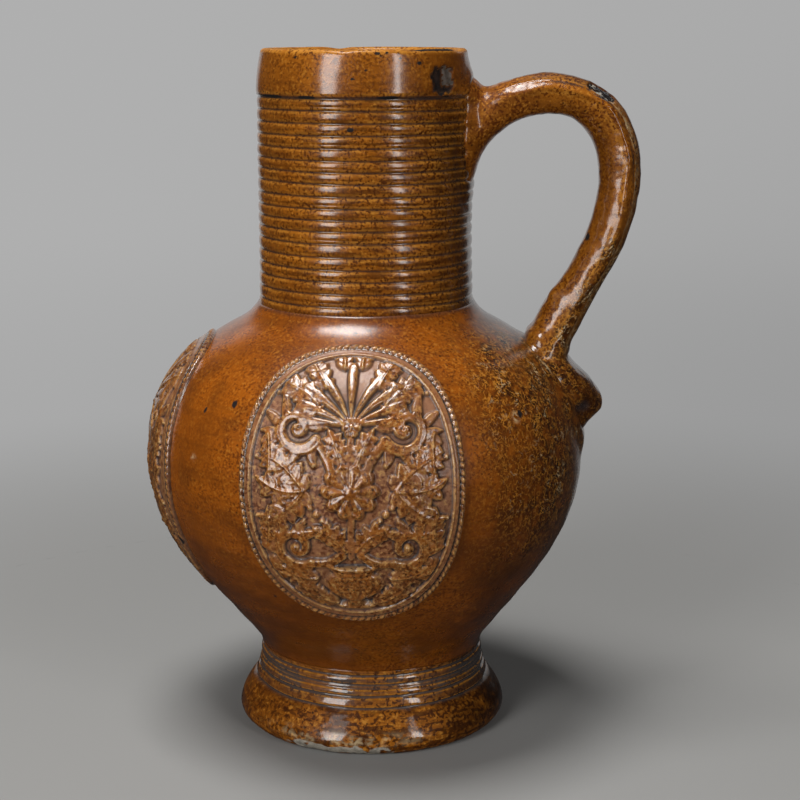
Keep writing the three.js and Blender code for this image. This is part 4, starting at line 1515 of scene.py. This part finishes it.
@dataclass
class Mould:
    """The mould the medallions were pressed in: a generic ornament of urn, scrolls and leaves.

    It is a raster over the oval, the same on both sides of its upright middle line, with heights
    in millimetres above the oval's sunk ground.
    """

    half_width: float = 38.0
    half_height: float = 53.0
    cell: float = 0.2
    margin: float = 2.0
    scroll_radius: float = 7.4
    scroll_turns: float = 1.3
    scroll_width: float = 1.9
    berries: tuple[Mark, ...] = (
        (11.0, -7.5, 1.32),
        (13.0, -5.4, 1.1),
        (9.0, -9.4, 1.1),
        (11.6, 8.2, 1.1),
        (6.2, 15.2, 0.99),
        (17.7, -31.0, 0.99),
        (24.5, 31.0, 0.99),
        (30.6, 9.5, 0.88),
        (30.6, -9.5, 0.88),
    )
    clay: Clay = field(default_factory=lambda: Clay(67))

    def __post_init__(self) -> None:
        """Cuts the whole mould."""
        across, up = self.half_width + self.margin, self.half_height + self.margin
        self.columns = int(2 * across / self.cell)
        self.rows = int(2 * up / self.cell)
        x = (np.arange(self.columns) + 0.5) * self.cell - across
        y = (np.arange(self.rows) + 0.5) * self.cell - up
        self.x, self.y = np.meshgrid(x, y)
        flat = np.stack([self.x, self.y, 0 * self.x], -1).reshape(-1, 3)
        self.drift = self.clay.layered(flat / 14.0, 2).reshape(self.x.shape)
        self.grit = self.clay.layered(flat / 2.3 + 4).reshape(self.x.shape)
        self.px = self.x + 0.45 * self.drift
        self.py = self.y + 0.45 * self.clay.at(flat / 12.0 + 31).reshape(self.x.shape)
        self.height = np.zeros_like(self.x)
        self.carve()
        self.soften()

    def put(self, chosen: Array, amount: Array) -> None:
        """Lays a form over what is there, whichever stands higher."""
        self.height[chosen] = np.maximum(self.height[chosen], amount)

    def stroke(self, path: Array, width: Array, height: float, rim: float = 0.3) -> None:
        """Cuts one tapering stroke with thin raised edges, on both sides of the middle line.

        Args:
            path: its middle line, one point a row.
            width: its half width at each point.
            height: how high it stands.
            rim: how much higher its thin edges stand, as a share.
        """
        width = np.broadcast_to(width, (len(path),))
        for side in (1.0, -1.0):
            line = path * np.array([side, 1.0])
            reach = float(width.max()) + 0.4
            low, high = line.min(0) - reach, line.max(0) + reach
            chosen = (self.px > low[0]) & (self.px < high[0]) & (self.py > low[1]) & (self.py < high[1])
            if not chosen.any():
                continue
            at = np.stack([self.px[chosen], self.py[chosen]], 1)
            best = np.full(len(at), 9.0)
            for a, b, wa, wb in zip(line[:-1], line[1:], width[:-1], width[1:]):
                step = b - a
                share = np.clip(((at - a) @ step) / max(float(step @ step), 1e-9), 0.0, 1.0)
                gap = np.linalg.norm(at - a - share[:, None] * step, axis=1)
                best = np.minimum(best, gap / (wa + share * (wb - wa)))
            dome = np.clip(1 - best**2.6, 0.0, 1.0) ** 0.55
            edges = rim * hump(0.74, 0.13, best)
            self.put(chosen, height * (dome * (1 - rim * 0.55) + edges))

    def boss(self, x: float, y: float, radius: float, height: float) -> None:
        """Cuts a round berry, and its twin on the other side."""
        for side in (1.0, -1.0):
            gap = np.hypot(self.px - side * x, self.py - y) / radius
            chosen = gap < 1.0
            self.put(chosen, height * (1 - gap[chosen] ** 2.2) ** 0.6)

    def volute(self, x: float, y: float, start: float) -> Array:
        """Cuts a scroll that winds in to a boss, against the clock.

        Args:
            x: its centre across.
            y: its centre up.
            start: the angle where it starts, in degrees.

        Returns:
            Its path from the outside in, for what grows on it.
        """
        share = np.linspace(0.0, 1.0, 50)
        angle = math.radians(start) + share * self.scroll_turns * 2 * math.pi
        out = self.scroll_radius * (1 - 0.86 * share**0.9)
        path = np.stack([x + out * np.cos(angle), y + out * np.sin(angle)], 1)
        self.stroke(path, self.scroll_width * (1 - 0.45 * share), 1.9)
        self.boss(x, y, self.scroll_width * 0.8, 2.2)
        return path

    @staticmethod
    def walk(at: Array, heading: Array, length: float) -> Array:
        """The path of that length from a place, with equal steps along the headings in radians."""
        steps = np.stack([np.cos(heading), np.sin(heading)], 1)[1:] * length / (len(heading) - 1)
        return np.asarray(at) + np.concatenate([[(0.0, 0.0)], np.cumsum(steps, axis=0)])

    def lobe(
        self, at: Array, facing: float, length: float, bend: float, width: float, height: float
    ) -> Array:
        """Cuts one pointed lobe of a leaf.

        Args:
            at: where it grows from.
            facing: the way it sets out, in degrees.
            length: how long it is.
            bend: how far it turns on its way, in degrees.
            width: half its width at the widest.
            height: how high it stands.

        Returns:
            Its middle line, for what grows on it.
        """
        share = np.linspace(0.0, 1.0, 9)
        heading = np.radians(facing + bend * share)
        path = self.walk(at, heading, length)
        half = width * (0.3 + 0.7 * np.sin(math.pi * share**0.85) ** 0.8) * (1 - 0.55 * share**3)
        self.stroke(path, half, height)
        return path

    def frond(
        self, at: Array, facing: float, length: float, curl: float, breadth: float, lobes: int = 5
    ) -> None:
        """Cuts a leaf: a bent spine with lobes that curl away from it on both sides.

        Args:
            at: its root.
            facing: the way it sets out, in degrees.
            length: along its spine.
            curl: how far the spine turns on its way, in degrees.
            breadth: how long its longest lobe is.
            lobes: how many lobes a side.
        """
        share = np.linspace(0.0, 1.0, 25)
        heading = facing + curl * share**1.2
        spine = self.walk(at, np.radians(heading), length)
        gap = 0.86 * length / lobes
        for k in range(lobes):
            place = 0.05 + 0.8 * k / lobes
            index = int(place * 24)
            reach = breadth * (0.62 + 0.5 * math.sin(math.pi * (0.15 + 0.75 * place)))
            for side in (1.0, -1.0):
                out = heading[index] + side * (34.0 - 10.0 * place)
                self.lobe(spine[index], out, reach, side * 40.0, gap * 0.66, 1.45 + 0.3 * (k % 2))
        self.lobe(spine[16], heading[16], length * 0.42, curl * 0.3, gap * 0.6, 1.7)
        self.stroke(spine, 0.5 * (1 - 0.5 * share), 1.95, 0.0)

    def fringe(
        self, path: Array, places: tuple[float, float], lengths: tuple[float, ...], side: float
    ) -> None:
        """Cuts a row of lobes along one side of a stem.

        Args:
            path: the stem.
            places: the shares of the path where the row starts and ends.
            lengths: each lobe's length, in order.
            side: 1 for the left of the path's way, -1 for its right.
        """
        for k, length in enumerate(lengths):
            share = places[0] + (places[1] - places[0]) * k / (len(lengths) - 1)
            index = int(share * (len(path) - 1))
            along = path[min(index + 1, len(path) - 1)] - path[max(index - 1, 0)]
            heading = math.degrees(math.atan2(along[1], along[0]))
            self.lobe(path[index], heading + side * 22.0, length, side * 42.0, 1.9, 1.4 + 0.3 * (k % 2))

    def rosette(self, y: float, radius: float, petals: int) -> None:
        """Cuts a round flower with notched petals and a button, on the middle line.

        Args:
            y: its middle.
            radius: out to its petals' tips.
            petals: how many.
        """
        turn = np.arctan2(self.py - y, self.px)
        gap = np.hypot(self.px, self.py - y) / radius
        lobe = np.abs(np.cos(petals / 2 * turn))
        edge = 0.8 + 0.2 * lobe
        chosen = gap < edge
        share = gap[chosen] / edge[chosen]
        petal = 1.9 * (1 - share**5) ** 0.5 * (0.52 + 0.48 * lobe[chosen] ** 0.6)
        self.put(chosen, petal + 0.5 * hump(0.86, 0.08, share))
        self.boss(0.0, y, radius * 0.3, 2.35)

    def urn(self, base: float) -> None:
        """Cuts the fluted urn at the foot of the ornament.

        Args:
            base: how far up it stands.
        """
        up = self.py - base
        half = np.interp(
            up,
            [0.0, 1.2, 2.2, 3.4, 5.0, 7.0, 9.5, 12.0, 14.0, 15.2, 16.4, 18.0],
            [6.4, 6.4, 3.2, 2.0, 4.6, 7.8, 9.6, 9.4, 7.6, 6.0, 7.4, 9.0],
        )
        gap = np.abs(self.px) / half
        chosen = (gap < 1.0) & (up > 0) & (up < 18.0)
        share = np.clip(gap[chosen], 0, 0.999)
        round_form = 2.3 * (1 - share**2.4) ** 0.5 + 0.25
        flutes = np.abs(np.cos(np.arcsin(share) * 7.0))
        fluted = smooth(4.4, 5.4, up[chosen]) * smooth(14.2, 13.2, up[chosen])
        round_form *= 1 - 0.34 * fluted * (1 - flutes**0.7)
        for level in (1.7, 4.2, 14.6, 16.2):
            round_form -= 0.5 * hump(level, 0.3, up[chosen])
        self.put(chosen, round_form)

    def palmette(self, y: float, length: float, rays: int) -> None:
        """Cuts the fan of rays at the head of the ornament.

        Args:
            y: where the rays meet.
            length: the middle ray's.
            rays: how many, the middle one among them.
        """
        for k in range(rays // 2 + 1):
            facing = math.radians(90 - k * 78.0 / (rays // 2))
            reach = length * (1 - 0.3 * (k / (rays // 2)) ** 1.5)
            bend = np.linspace(0.0, 1.0, 10)
            swing = facing - 0.35 * (k > 0) * bend
            path = np.stack([np.cumsum(np.cos(swing)), np.cumsum(np.sin(swing))], 1) * reach / 9
            path = path + np.array([0.6 * k / 2, y])
            self.stroke(path, 0.5 + 1.65 * bend**1.3 * (1.2 - 0.5 * bend**3), 1.9)
        self.rosette(y - 0.5, 3.4, 6)

    def carve(self) -> None:
        """Cuts the ornament, from the urn upwards; what comes later lies over what came before."""
        self.frond((5.5, -41.5), 14.0, 15.5, 46.0, 5.6, 5)
        self.frond((11.5, -30.5), -10.0, 12.5, 62.0, 5.4, 4)
        self.frond((20.5, -30.0), 8.0, 9.0, 58.0, 4.6, 4)
        self.frond((27.0, -20.0), 100.0, 13.0, -20.0, 4.6, 4)
        self.frond((26.5, 17.0), -100.0, 12.0, 20.0, 4.6, 4)
        low_scroll, high_scroll = (17.7, -19.0, 232.0), (17.3, 19.0, 208.0)
        low = self.volute(*low_scroll)
        self.fringe(low, (0.0, 0.5), (8.0, 8.5, 9.0, 8.5, 8.0, 7.5, 7.5, 7.0), -1.0)
        high = self.volute(*high_scroll)
        self.fringe(high, (0.03, 0.62), (7.5, 7.5, 8.0, 8.5, 9.5, 10.5, 10.0, 9.0, 8.0), -1.0)
        for facing, curl in ((-58.0, 40.0), (58.0, -40.0), (-12.0, 46.0)):
            self.frond((14.5, 0.0), facing, 16.0, curl, 5.4, 4)
        self.volute(*low_scroll)
        self.volute(*high_scroll)
        self.stroke(spline(np.array([(3.0, -21.5), (7.4, -24.5), tuple(low[0])]), 12), 1.6, 1.8)
        self.stroke(spline(np.array([(5.0, 5.0), (7.5, 10.5), tuple(high[0])]), 12), 1.6, 1.8)
        self.frond((1.5, -20.0), 62.0, 13.0, -50.0, 4.6, 4)
        self.frond((2.5, 8.5), 74.0, 11.0, -14.0, 3.8, 4)
        self.frond((10.5, 27.0), 44.0, 14.5, -26.0, 5.6, 4)
        self.frond((8.5, 33.0), 72.0, 14.0, -22.0, 4.6, 4)
        self.frond((3.0, 41.0), 96.0, 8.0, -46.0, 4.0, 3)
        stem = np.array([(0.0, -22.0), (0.0, 21.0)])
        self.stroke(evenly(stem, 6), np.full(6, 1.2), 1.4)
        self.urn(-43.5)
        self.rosette(0.0, 9.6, 10)
        self.palmette(20.5, 18.5, 9)
        for x, y, radius in self.berries:
            self.boss(x, y, radius, 1.7)

    def soften(self) -> None:
        """Adds the border, then takes the edge off everything as glaze and wear do."""
        share = np.hypot(self.x / self.half_width, self.y / self.half_height)
        turn = np.arctan2(self.y / self.half_height, self.x / self.half_width)
        field_part = smooth(0.875, 0.855, share)
        raised = self.height * field_part
        worn = 1 - 0.25 * smooth(0.1, 0.9, self.drift)
        raised = blurred(raised, 1.15) * worn + 0.06 * self.grit * field_part
        lengths = np.linspace(-math.pi, math.pi, 721)
        speed = np.hypot(self.half_width * np.sin(lengths), self.half_height * np.cos(lengths))
        arc = running(0.5 * (speed[1:] + speed[:-1]) * np.diff(lengths))
        along = np.interp(turn, lengths, arc)
        wavy = share + 0.004 * self.drift
        fillet = 0.95 * smooth(0.868, 0.884, wavy) * smooth(0.94, 0.924, wavy)
        fillet += 0.4 * hump(0.88, 0.008, wavy)
        twist = np.sin(along * 2 * math.pi / 2.35 + (wavy - 0.95) * 70.0)
        notch = hump(0.964, 0.021, wavy) * np.clip(-twist * 1.5, 0.0, 1.0)
        rope = hump(0.964, 0.021, wavy) * (1.0 + 0.2 * self.drift) - 0.42 * notch
        border = fillet + rope * (1 + 0.15 * self.grit)
        self.height = np.maximum(raised, 0.0) + blurred(border, 0.7)
        broad = blurred(self.height, 4.2)
        near = blurred(self.height, 1.5)
        self.ridge = np.clip((self.height - near) * 8.0 - 0.4, 0.0, 1.0)
        lines = np.clip((blurred(self.height, 0.9) - self.height) * 10.0 - 0.3, 0.0, 1.0)
        self.hollow = np.clip(lines + (broad - self.height) * 0.9 - 0.1 + 0.6 * notch, 0.0, 1.0)
        self.crest = smooth(0.7, 1.5, self.height)

    def sample(self, field_of: Array, x: Array, y: Array) -> Array:
        """Reads a raster between its cells.

        Args:
            field_of: the raster.
            x: places across.
            y: places up.

        Returns:
            One value a place.
        """
        column = np.clip((x + self.half_width + self.margin) / self.cell - 0.5, 0, self.columns - 1.001)
        row = np.clip((y + self.half_height + self.margin) / self.cell - 0.5, 0, self.rows - 1.001)
        c, r = column.astype(int), row.astype(int)
        fc, fr = column - c, row - r
        low = field_of[r, c] * (1 - fc) + field_of[r, c + 1] * fc
        high = field_of[r + 1, c] * (1 - fc) + field_of[r + 1, c + 1] * fc
        return low * (1 - fr) + high * fr


@dataclass
class Medallion:
    """One pressed oval, laid on the belly by hand."""

    form: JugForm
    mould: Mould
    name: str
    facing: float
    rise: float
    pressed: float = 1.0
    iron_spot: Mark | None = None
    across_cells: int = 256
    up_cells: int = 348
    ground: float = 1.0
    sunk: float = 1.6

    def on_skin(self, across: Array, up: Array, proud: Array) -> Array:
        """Places on the belly.

        Args:
            across: lengths along the skin from the medallion's centre, round the belly.
            up: lengths along the skin from its centre, up the belly.
            proud: how far each place stands off the skin.

        Returns:
            Points in the jug's frame, one a row.
        """
        outline = self.form.belly_outline(600)
        length = lengths_along(outline)
        centre = np.interp(self.form.equator_z + self.rise, outline[:, 1], length)
        radius = np.interp(centre + up, length, outline[:, 0])
        z = np.interp(centre + up, length, outline[:, 1])
        slope_r = np.interp(centre + up, length, np.gradient(outline[:, 0], length))
        slope_z = np.interp(centre + up, length, np.gradient(outline[:, 1], length))
        turn = math.radians(self.facing) + across / radius
        radius = radius + self.form.swell(turn, z) + slope_z * proud
        z = z - slope_r * proud
        return self.form.settled(around_axis(radius, turn, z))

    def build(self) -> Skin:
        """Builds the mesh.

        Returns:
            The medallion, its edge sunk in the belly, with what its glaze is told.
        """
        columns, rows = self.across_cells + 1, self.up_cells + 1
        u, v = np.meshgrid(np.linspace(-1, 1, columns), np.linspace(-1, 1, rows))
        x = (u * np.sqrt(1 - v * v / 2)).ravel() * self.mould.half_width
        y = (v * np.sqrt(1 - u * u / 2)).ravel() * self.mould.half_height
        share = np.hypot(x / self.mould.half_width, y / self.mould.half_height)
        relief = self.mould.sample(self.mould.height, x, y)
        proud = self.pressed * (self.ground + relief)
        proud = proud * smooth(1.004, 0.984, share) + 0.25 * smooth(0.97, 0.99, share)
        proud -= 1.3 * smooth(0.99, 1.0, share)
        points = self.on_skin(x, y, proud)
        row, column = np.meshgrid(np.arange(rows - 1), np.arange(columns - 1), indexing="ij")
        first = (row * columns + column).ravel()
        skin = Skin(points, np.stack([first, first + 1, first + columns + 1, first + columns], 1))
        self.tell(skin, x, y, share)
        self.close(skin, x, y)
        return skin

    def tell(self, skin: Skin, x: Array, y: Array, share: Array) -> None:
        """Tells the glaze where it pooled in the relief and broke on it.

        Args:
            skin: the medallion's front.
            x: lengths round the belly at its points.
            y: lengths up the belly at its points.
            share: how near to the edge they are.
        """
        sharp = self.mould.sample(self.mould.ridge, x, y)
        crest = self.mould.sample(self.mould.crest, x, y)
        rope = hump(0.964, 0.02, share)
        skin.tell("ridge", 0.8 * sharp)
        skin.tell("ridge", rope * 0.15)
        skin.tell("pale", smooth(0.8, 1.0, sharp) * 0.35)
        skin.tell("tiger", 0.32 * crest * smooth(0.9, 0.86, share))
        skin.tell("worn", 0.8 * (1 - crest) * smooth(0.89, 0.86, share))
        skin.tell("hollow", 1.5 * self.mould.sample(self.mould.hollow, x, y))
        skin.tell("hollow", 0.75 * smooth(0.985, 1.0, share))
        skin.tell("hollow", 0.6 * hump(0.936, 0.012, share))
        for told, on_crest, on_rope in (("rusty", 1.0, 0.8), ("mottle", 0.95, 0.6)):
            skin.tell(told, on_crest * crest)
            skin.tell(told, on_rope * rope)
        if self.iron_spot is not None:
            spot_x, spot_y, size = self.iron_spot
            skin.tell("stain", spot(x - spot_x, y - spot_y, size, 1.5 * size))

    def close(self, skin: Skin, x: Array, y: Array) -> None:
        """Closes the back with rings that shrink to a point, sunk in the belly's wall.

        Args:
            skin: the medallion's front, its edge sunk already.
            x: lengths round the belly at its points.
            y: lengths up the belly at its points.
        """
        number = np.arange(len(x)).reshape(self.up_cells + 1, self.across_cells + 1)
        rim = np.concatenate([number[0, :-1], number[:-1, -1], number[-1, :0:-1], number[:0:-1, 0]])
        first = len(skin.points)
        rings, loops = [skin.points], [rim]
        for inward in (0.75, 0.5, 0.25):
            rings.append(self.on_skin(x[rim] * inward, y[rim] * inward, np.full(len(rim), -self.sunk)))
            loops.append(first + len(rim) * (len(loops) - 1) + np.arange(len(rim)))
        rings.append(self.on_skin(np.zeros(1), np.zeros(1), np.full(1, -self.sunk)))
        skin.points = np.concatenate(rings)
        added = len(skin.points) - first
        faces = skin.faces.tolist()
        for outer, inner in zip(loops, loops[1:]):
            faces += np.stack([np.roll(outer, -1), outer, inner, np.roll(inner, -1)], 1).tolist()
        centre = np.full(len(rim), len(skin.points) - 1)
        faces += np.stack([np.roll(loops[-1], -1), loops[-1], centre], 1).tolist()
        skin.faces = np.array(faces, dtype=object)
        for told, amount in skin.tells.items():
            skin.tells[told] = np.concatenate([amount, np.zeros(added)])


@dataclass
class Studio:
    """The plain grey sweep, which glows with painted light away from the jug, the soft lights and the
    camera.
    """

    paper: float = 0.265
    near_glow: float = 0.39
    far_glow: float = 0.43
    painted_right_shade: float = 0.13
    lens: float = 78.98
    distance: float = 0.61656
    height: float = 0.24921
    aside: float = 0.01191
    down: float = 12.157
    roll: float = -0.03
    around: int = 96
    backdrop_left: float = 29.0
    backdrop_right: float = 34.0

    def paper_finish(self) -> bpy.types.Material:
        """The pale paper: lit by the lamps near the jug; away from it, it glows with painted light, a little
        brighter far out and with painted shade to the right.

        Returns:
            The material.
        """
        r = Recipe("studio_glowing_paper")
        parts = r.node("SeparateXYZ", Vector=r.place)
        x, y = parts.outputs["X"], parts.outputs["Y"]
        out = r.maths("SQRT", r.maths("ADD", r.times(x, x), r.times(y, y)))
        # painted shade: the paper's glow is darkened to the right of the jug, most near it
        sideways = r.maths("DIVIDE", x, r.maths("ADD", r.times(out, 0.5), 0.3))
        nearer = r.maths("ADD", r.times(r.step(out, 2.6, 0.6), self.painted_right_shade), 0.06)
        dim = r.times(r.step(sideways, -0.5, 0.5), nearer)
        tone = r.mix(r.step(out, 0.2, 1.6), (self.near_glow,) * 3, (self.far_glow,) * 3)
        tone = r.mix(dim, tone, (0.0, 0.0, 0.0))
        # the glow is painted light; the paper behind the jug also lights it and shows in its reflections
        glow = r.node("Emission", Color=tone, Strength=1.0)
        pale = (self.paper, self.paper, 0.985 * self.paper)
        shader = r.node("BsdfPrincipled", Base_Color=pale, Roughness=0.9)
        shader.inputs["Specular IOR Level"].default_value = 0.1
        both = r.node("MixShader", Fac=r.step(out, 0.15, 0.55))
        r.feed(both.inputs[1], shader.outputs["BSDF"])
        r.feed(both.inputs[2], glow.outputs["Emission"])
        return r.done(both.outputs["Shader"])

    def ring_of_paper(
        self, name: str, radii: Array, rise: Array, start: float, share: float
    ) -> bpy.types.Object:
        """Makes a part of the sweep.

        Args:
            name: its name.
            radii: distances from the jug's axis in metres.
            rise: the paper's height at each.
            start: the angle where the part starts, in degrees.
            share: how much of a full turn it takes.

        Returns:
            The paper, without a material.
        """
        count = int(self.around * share) + 1
        turn = math.radians(start) + np.linspace(0, 2 * math.pi * share, count)
        radius, around = np.meshgrid(radii, turn, indexing="ij")
        z = np.repeat(rise[:, None], count, axis=1)
        points = around_axis(radius, around, z)
        rows = np.arange(len(radii) - 1)[:, None] * count
        first = (rows + np.arange(count - 1)).ravel()
        faces = np.stack([first, first + count, first + count + 1, first + 1], 1)
        return Skin(points / METRE, faces).make(name)

    def sweep(self) -> list[bpy.types.Object]:
        """Makes the floor and the paper that rises far away.

        Returns:
            The floor round the jug, the paper behind it, and the paper on all other sides,
            which only the camera sees.
        """
        near = np.concatenate([[0.001], np.linspace(0.02, 0.24, 12)])
        flat = np.linspace(0.24, 1.25, 24)
        far = np.linspace(1.25, 4.2, 30)[1:]
        radii = np.concatenate([flat, far])
        rise = np.where(radii > 1.25, 2.6 * (np.clip(radii - 1.25, 0, None) / 2.95) ** 2.2, 0.0)
        floor = self.ring_of_paper("studio_floor", near, 0 * near, 0.0, 1.0)
        start = 90.0 + CAMERA_TURN - self.backdrop_right
        share = (self.backdrop_left + self.backdrop_right) / 360.0
        behind = self.ring_of_paper("studio_backdrop", radii, rise, start, share)
        before = self.ring_of_paper("studio_front_paper", radii, rise, start + 360.0 * share, 1 - share)
        before.visible_diffuse = False
        before.visible_glossy = False
        floor.visible_glossy = False
        paper = self.paper_finish()
        for part in (floor, behind, before):
            part.data.materials.append(paper)
        return [floor, behind, before]

    def soft_box(
        self, name: str, turn: float, up: float, away_by: float, size: tuple[float, float], watts: float
    ) -> None:
        """Hangs a soft light.

        Args:
            name: its name.
            turn: degrees round the jug to the right of the camera.
            up: degrees above the floor.
            away_by: its distance from the jug in metres.
            size: its width and height in metres.
            watts: its power.
        """
        light = bpy.data.lights.new(name, "AREA")
        light.shape = "RECTANGLE"
        light.size, light.size_y = size
        light.energy = watts
        light.color = (1.0, 0.985, 0.965)
        hung = bpy.data.objects.new(name, light)
        bpy.context.scene.collection.objects.link(hung)
        a, e = math.radians(CAMERA_TURN + turn), math.radians(up)
        back = Vector((math.sin(a) * math.cos(e), -math.cos(a) * math.cos(e), math.sin(e)))
        aim = Vector((0.0, 0.0, 0.11))
        hung.location = aim + back * away_by
        hung.rotation_mode = "QUATERNION"
        hung.rotation_quaternion = (-back).to_track_quat("-Z", "Y")
        hung.visible_camera = False

    def camera(self) -> None:
        """Sets up the camera where the photograph was taken from."""
        data = bpy.data.cameras.new("front_camera")
        data.sensor_width = 36.0
        data.lens = self.lens
        data.clip_end = 30.0
        made = bpy.data.objects.new("front_camera", data)
        bpy.context.scene.collection.objects.link(made)
        a = math.radians(CAMERA_TURN)
        made.location = (
            self.aside * math.cos(a) + self.distance * math.sin(a),
            self.aside * math.sin(a) - self.distance * math.cos(a),
            self.height,
        )
        look = Euler((math.radians(90.0 - self.down), 0.0, a), "XYZ").to_matrix()
        tilt = Euler((0.0, 0.0, math.radians(self.roll)), "XYZ").to_matrix()
        made.rotation_mode = "QUATERNION"
        made.rotation_quaternion = (look @ tilt).to_quaternion()
        bpy.context.scene.camera = made

    def build(self) -> None:
        """Sets the whole studio up."""
        for part in self.sweep():
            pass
        self.soft_box("left_soft_box", -34.0, 19.0, 1.25, (0.4, 1.0), 11.6)
        self.soft_box("right_soft_box", 38.0, 17.5, 1.35, (0.17, 0.94), 5.4)
        self.soft_box("overhead", -62.0, 81.0, 1.3, (0.5, 0.5), 17.5)
        world = bpy.data.worlds.new("studio_air")
        world.use_nodes = True
        world.node_tree.nodes["Background"].inputs[0].default_value = (0.93, 0.96, 1.0, 1.0)
        world.node_tree.nodes["Background"].inputs[1].default_value = 0.02
        bpy.context.scene.world = world
        bpy.context.scene.view_settings.view_transform = "Standard"
        self.camera()


@dataclass
class WineJug:
    """The whole jug: its pieces in the order the potter joined them."""

    form: JugForm = field(default_factory=JugForm)
    laid_at: float = 5.1
    low_laid: float = 6.1

    def place(self, skin: Skin, node: str, slot: str, finish: Finish) -> None:
        """Makes a piece, glazes it and puts it on the frame.

        Args:
            skin: its mesh.
            node: the CAD node it stands for.
            slot: not used.
            finish: its glaze.
        """
        name = node + "_glazed"
        piece = skin.make(name)
        piece.data.materials.append(finish.value.material())
        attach(piece, "root")
        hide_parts(node)
        LOG.info("%s: %d points, %d faces", name, len(piece.data.vertices), len(piece.data.polygons))

    def build(self) -> None:
        """Builds every piece."""
        handle = Handle(self.form)
        handle_skin = handle.build()
        self.place(Foot(self.form).build(), "foot", "foot_glaze", Finish.FOOT)
        self.place(Belly(self.form).build(handle), "belly", "belly_glaze", Finish.BELLY)
        self.place(Neck(self.form).build(handle), "neck", "neck_glaze", Finish.NECK)
        self.place(handle_skin, "handle", "handle_glaze", Finish.HANDLE)
        mould = Mould()
        high, low = self.laid_at, self.laid_at - self.low_laid
        ovals = (
            Medallion(self.form, mould, "medallion_front", -89.3, high),
            Medallion(
                self.form,
                mould,
                "medallion_opposite_handle",
                -174.0,
                low,
                pressed=0.74,
                iron_spot=(32.6, -22.5, 1.5),
            ),
            Medallion(self.form, mould, "medallion_back", 90.0, high),
        )
        for oval in ovals:
            self.place(oval.build(), oval.name, "medallion_glaze", Finish.MEDALLION)


def main() -> None:
    """Builds the jug and the studio."""
    logging.basicConfig(level=logging.INFO, format="%(message)s")
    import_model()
    WineJug().build()
    Studio().build()


if __name__ == "__main__":
    main()
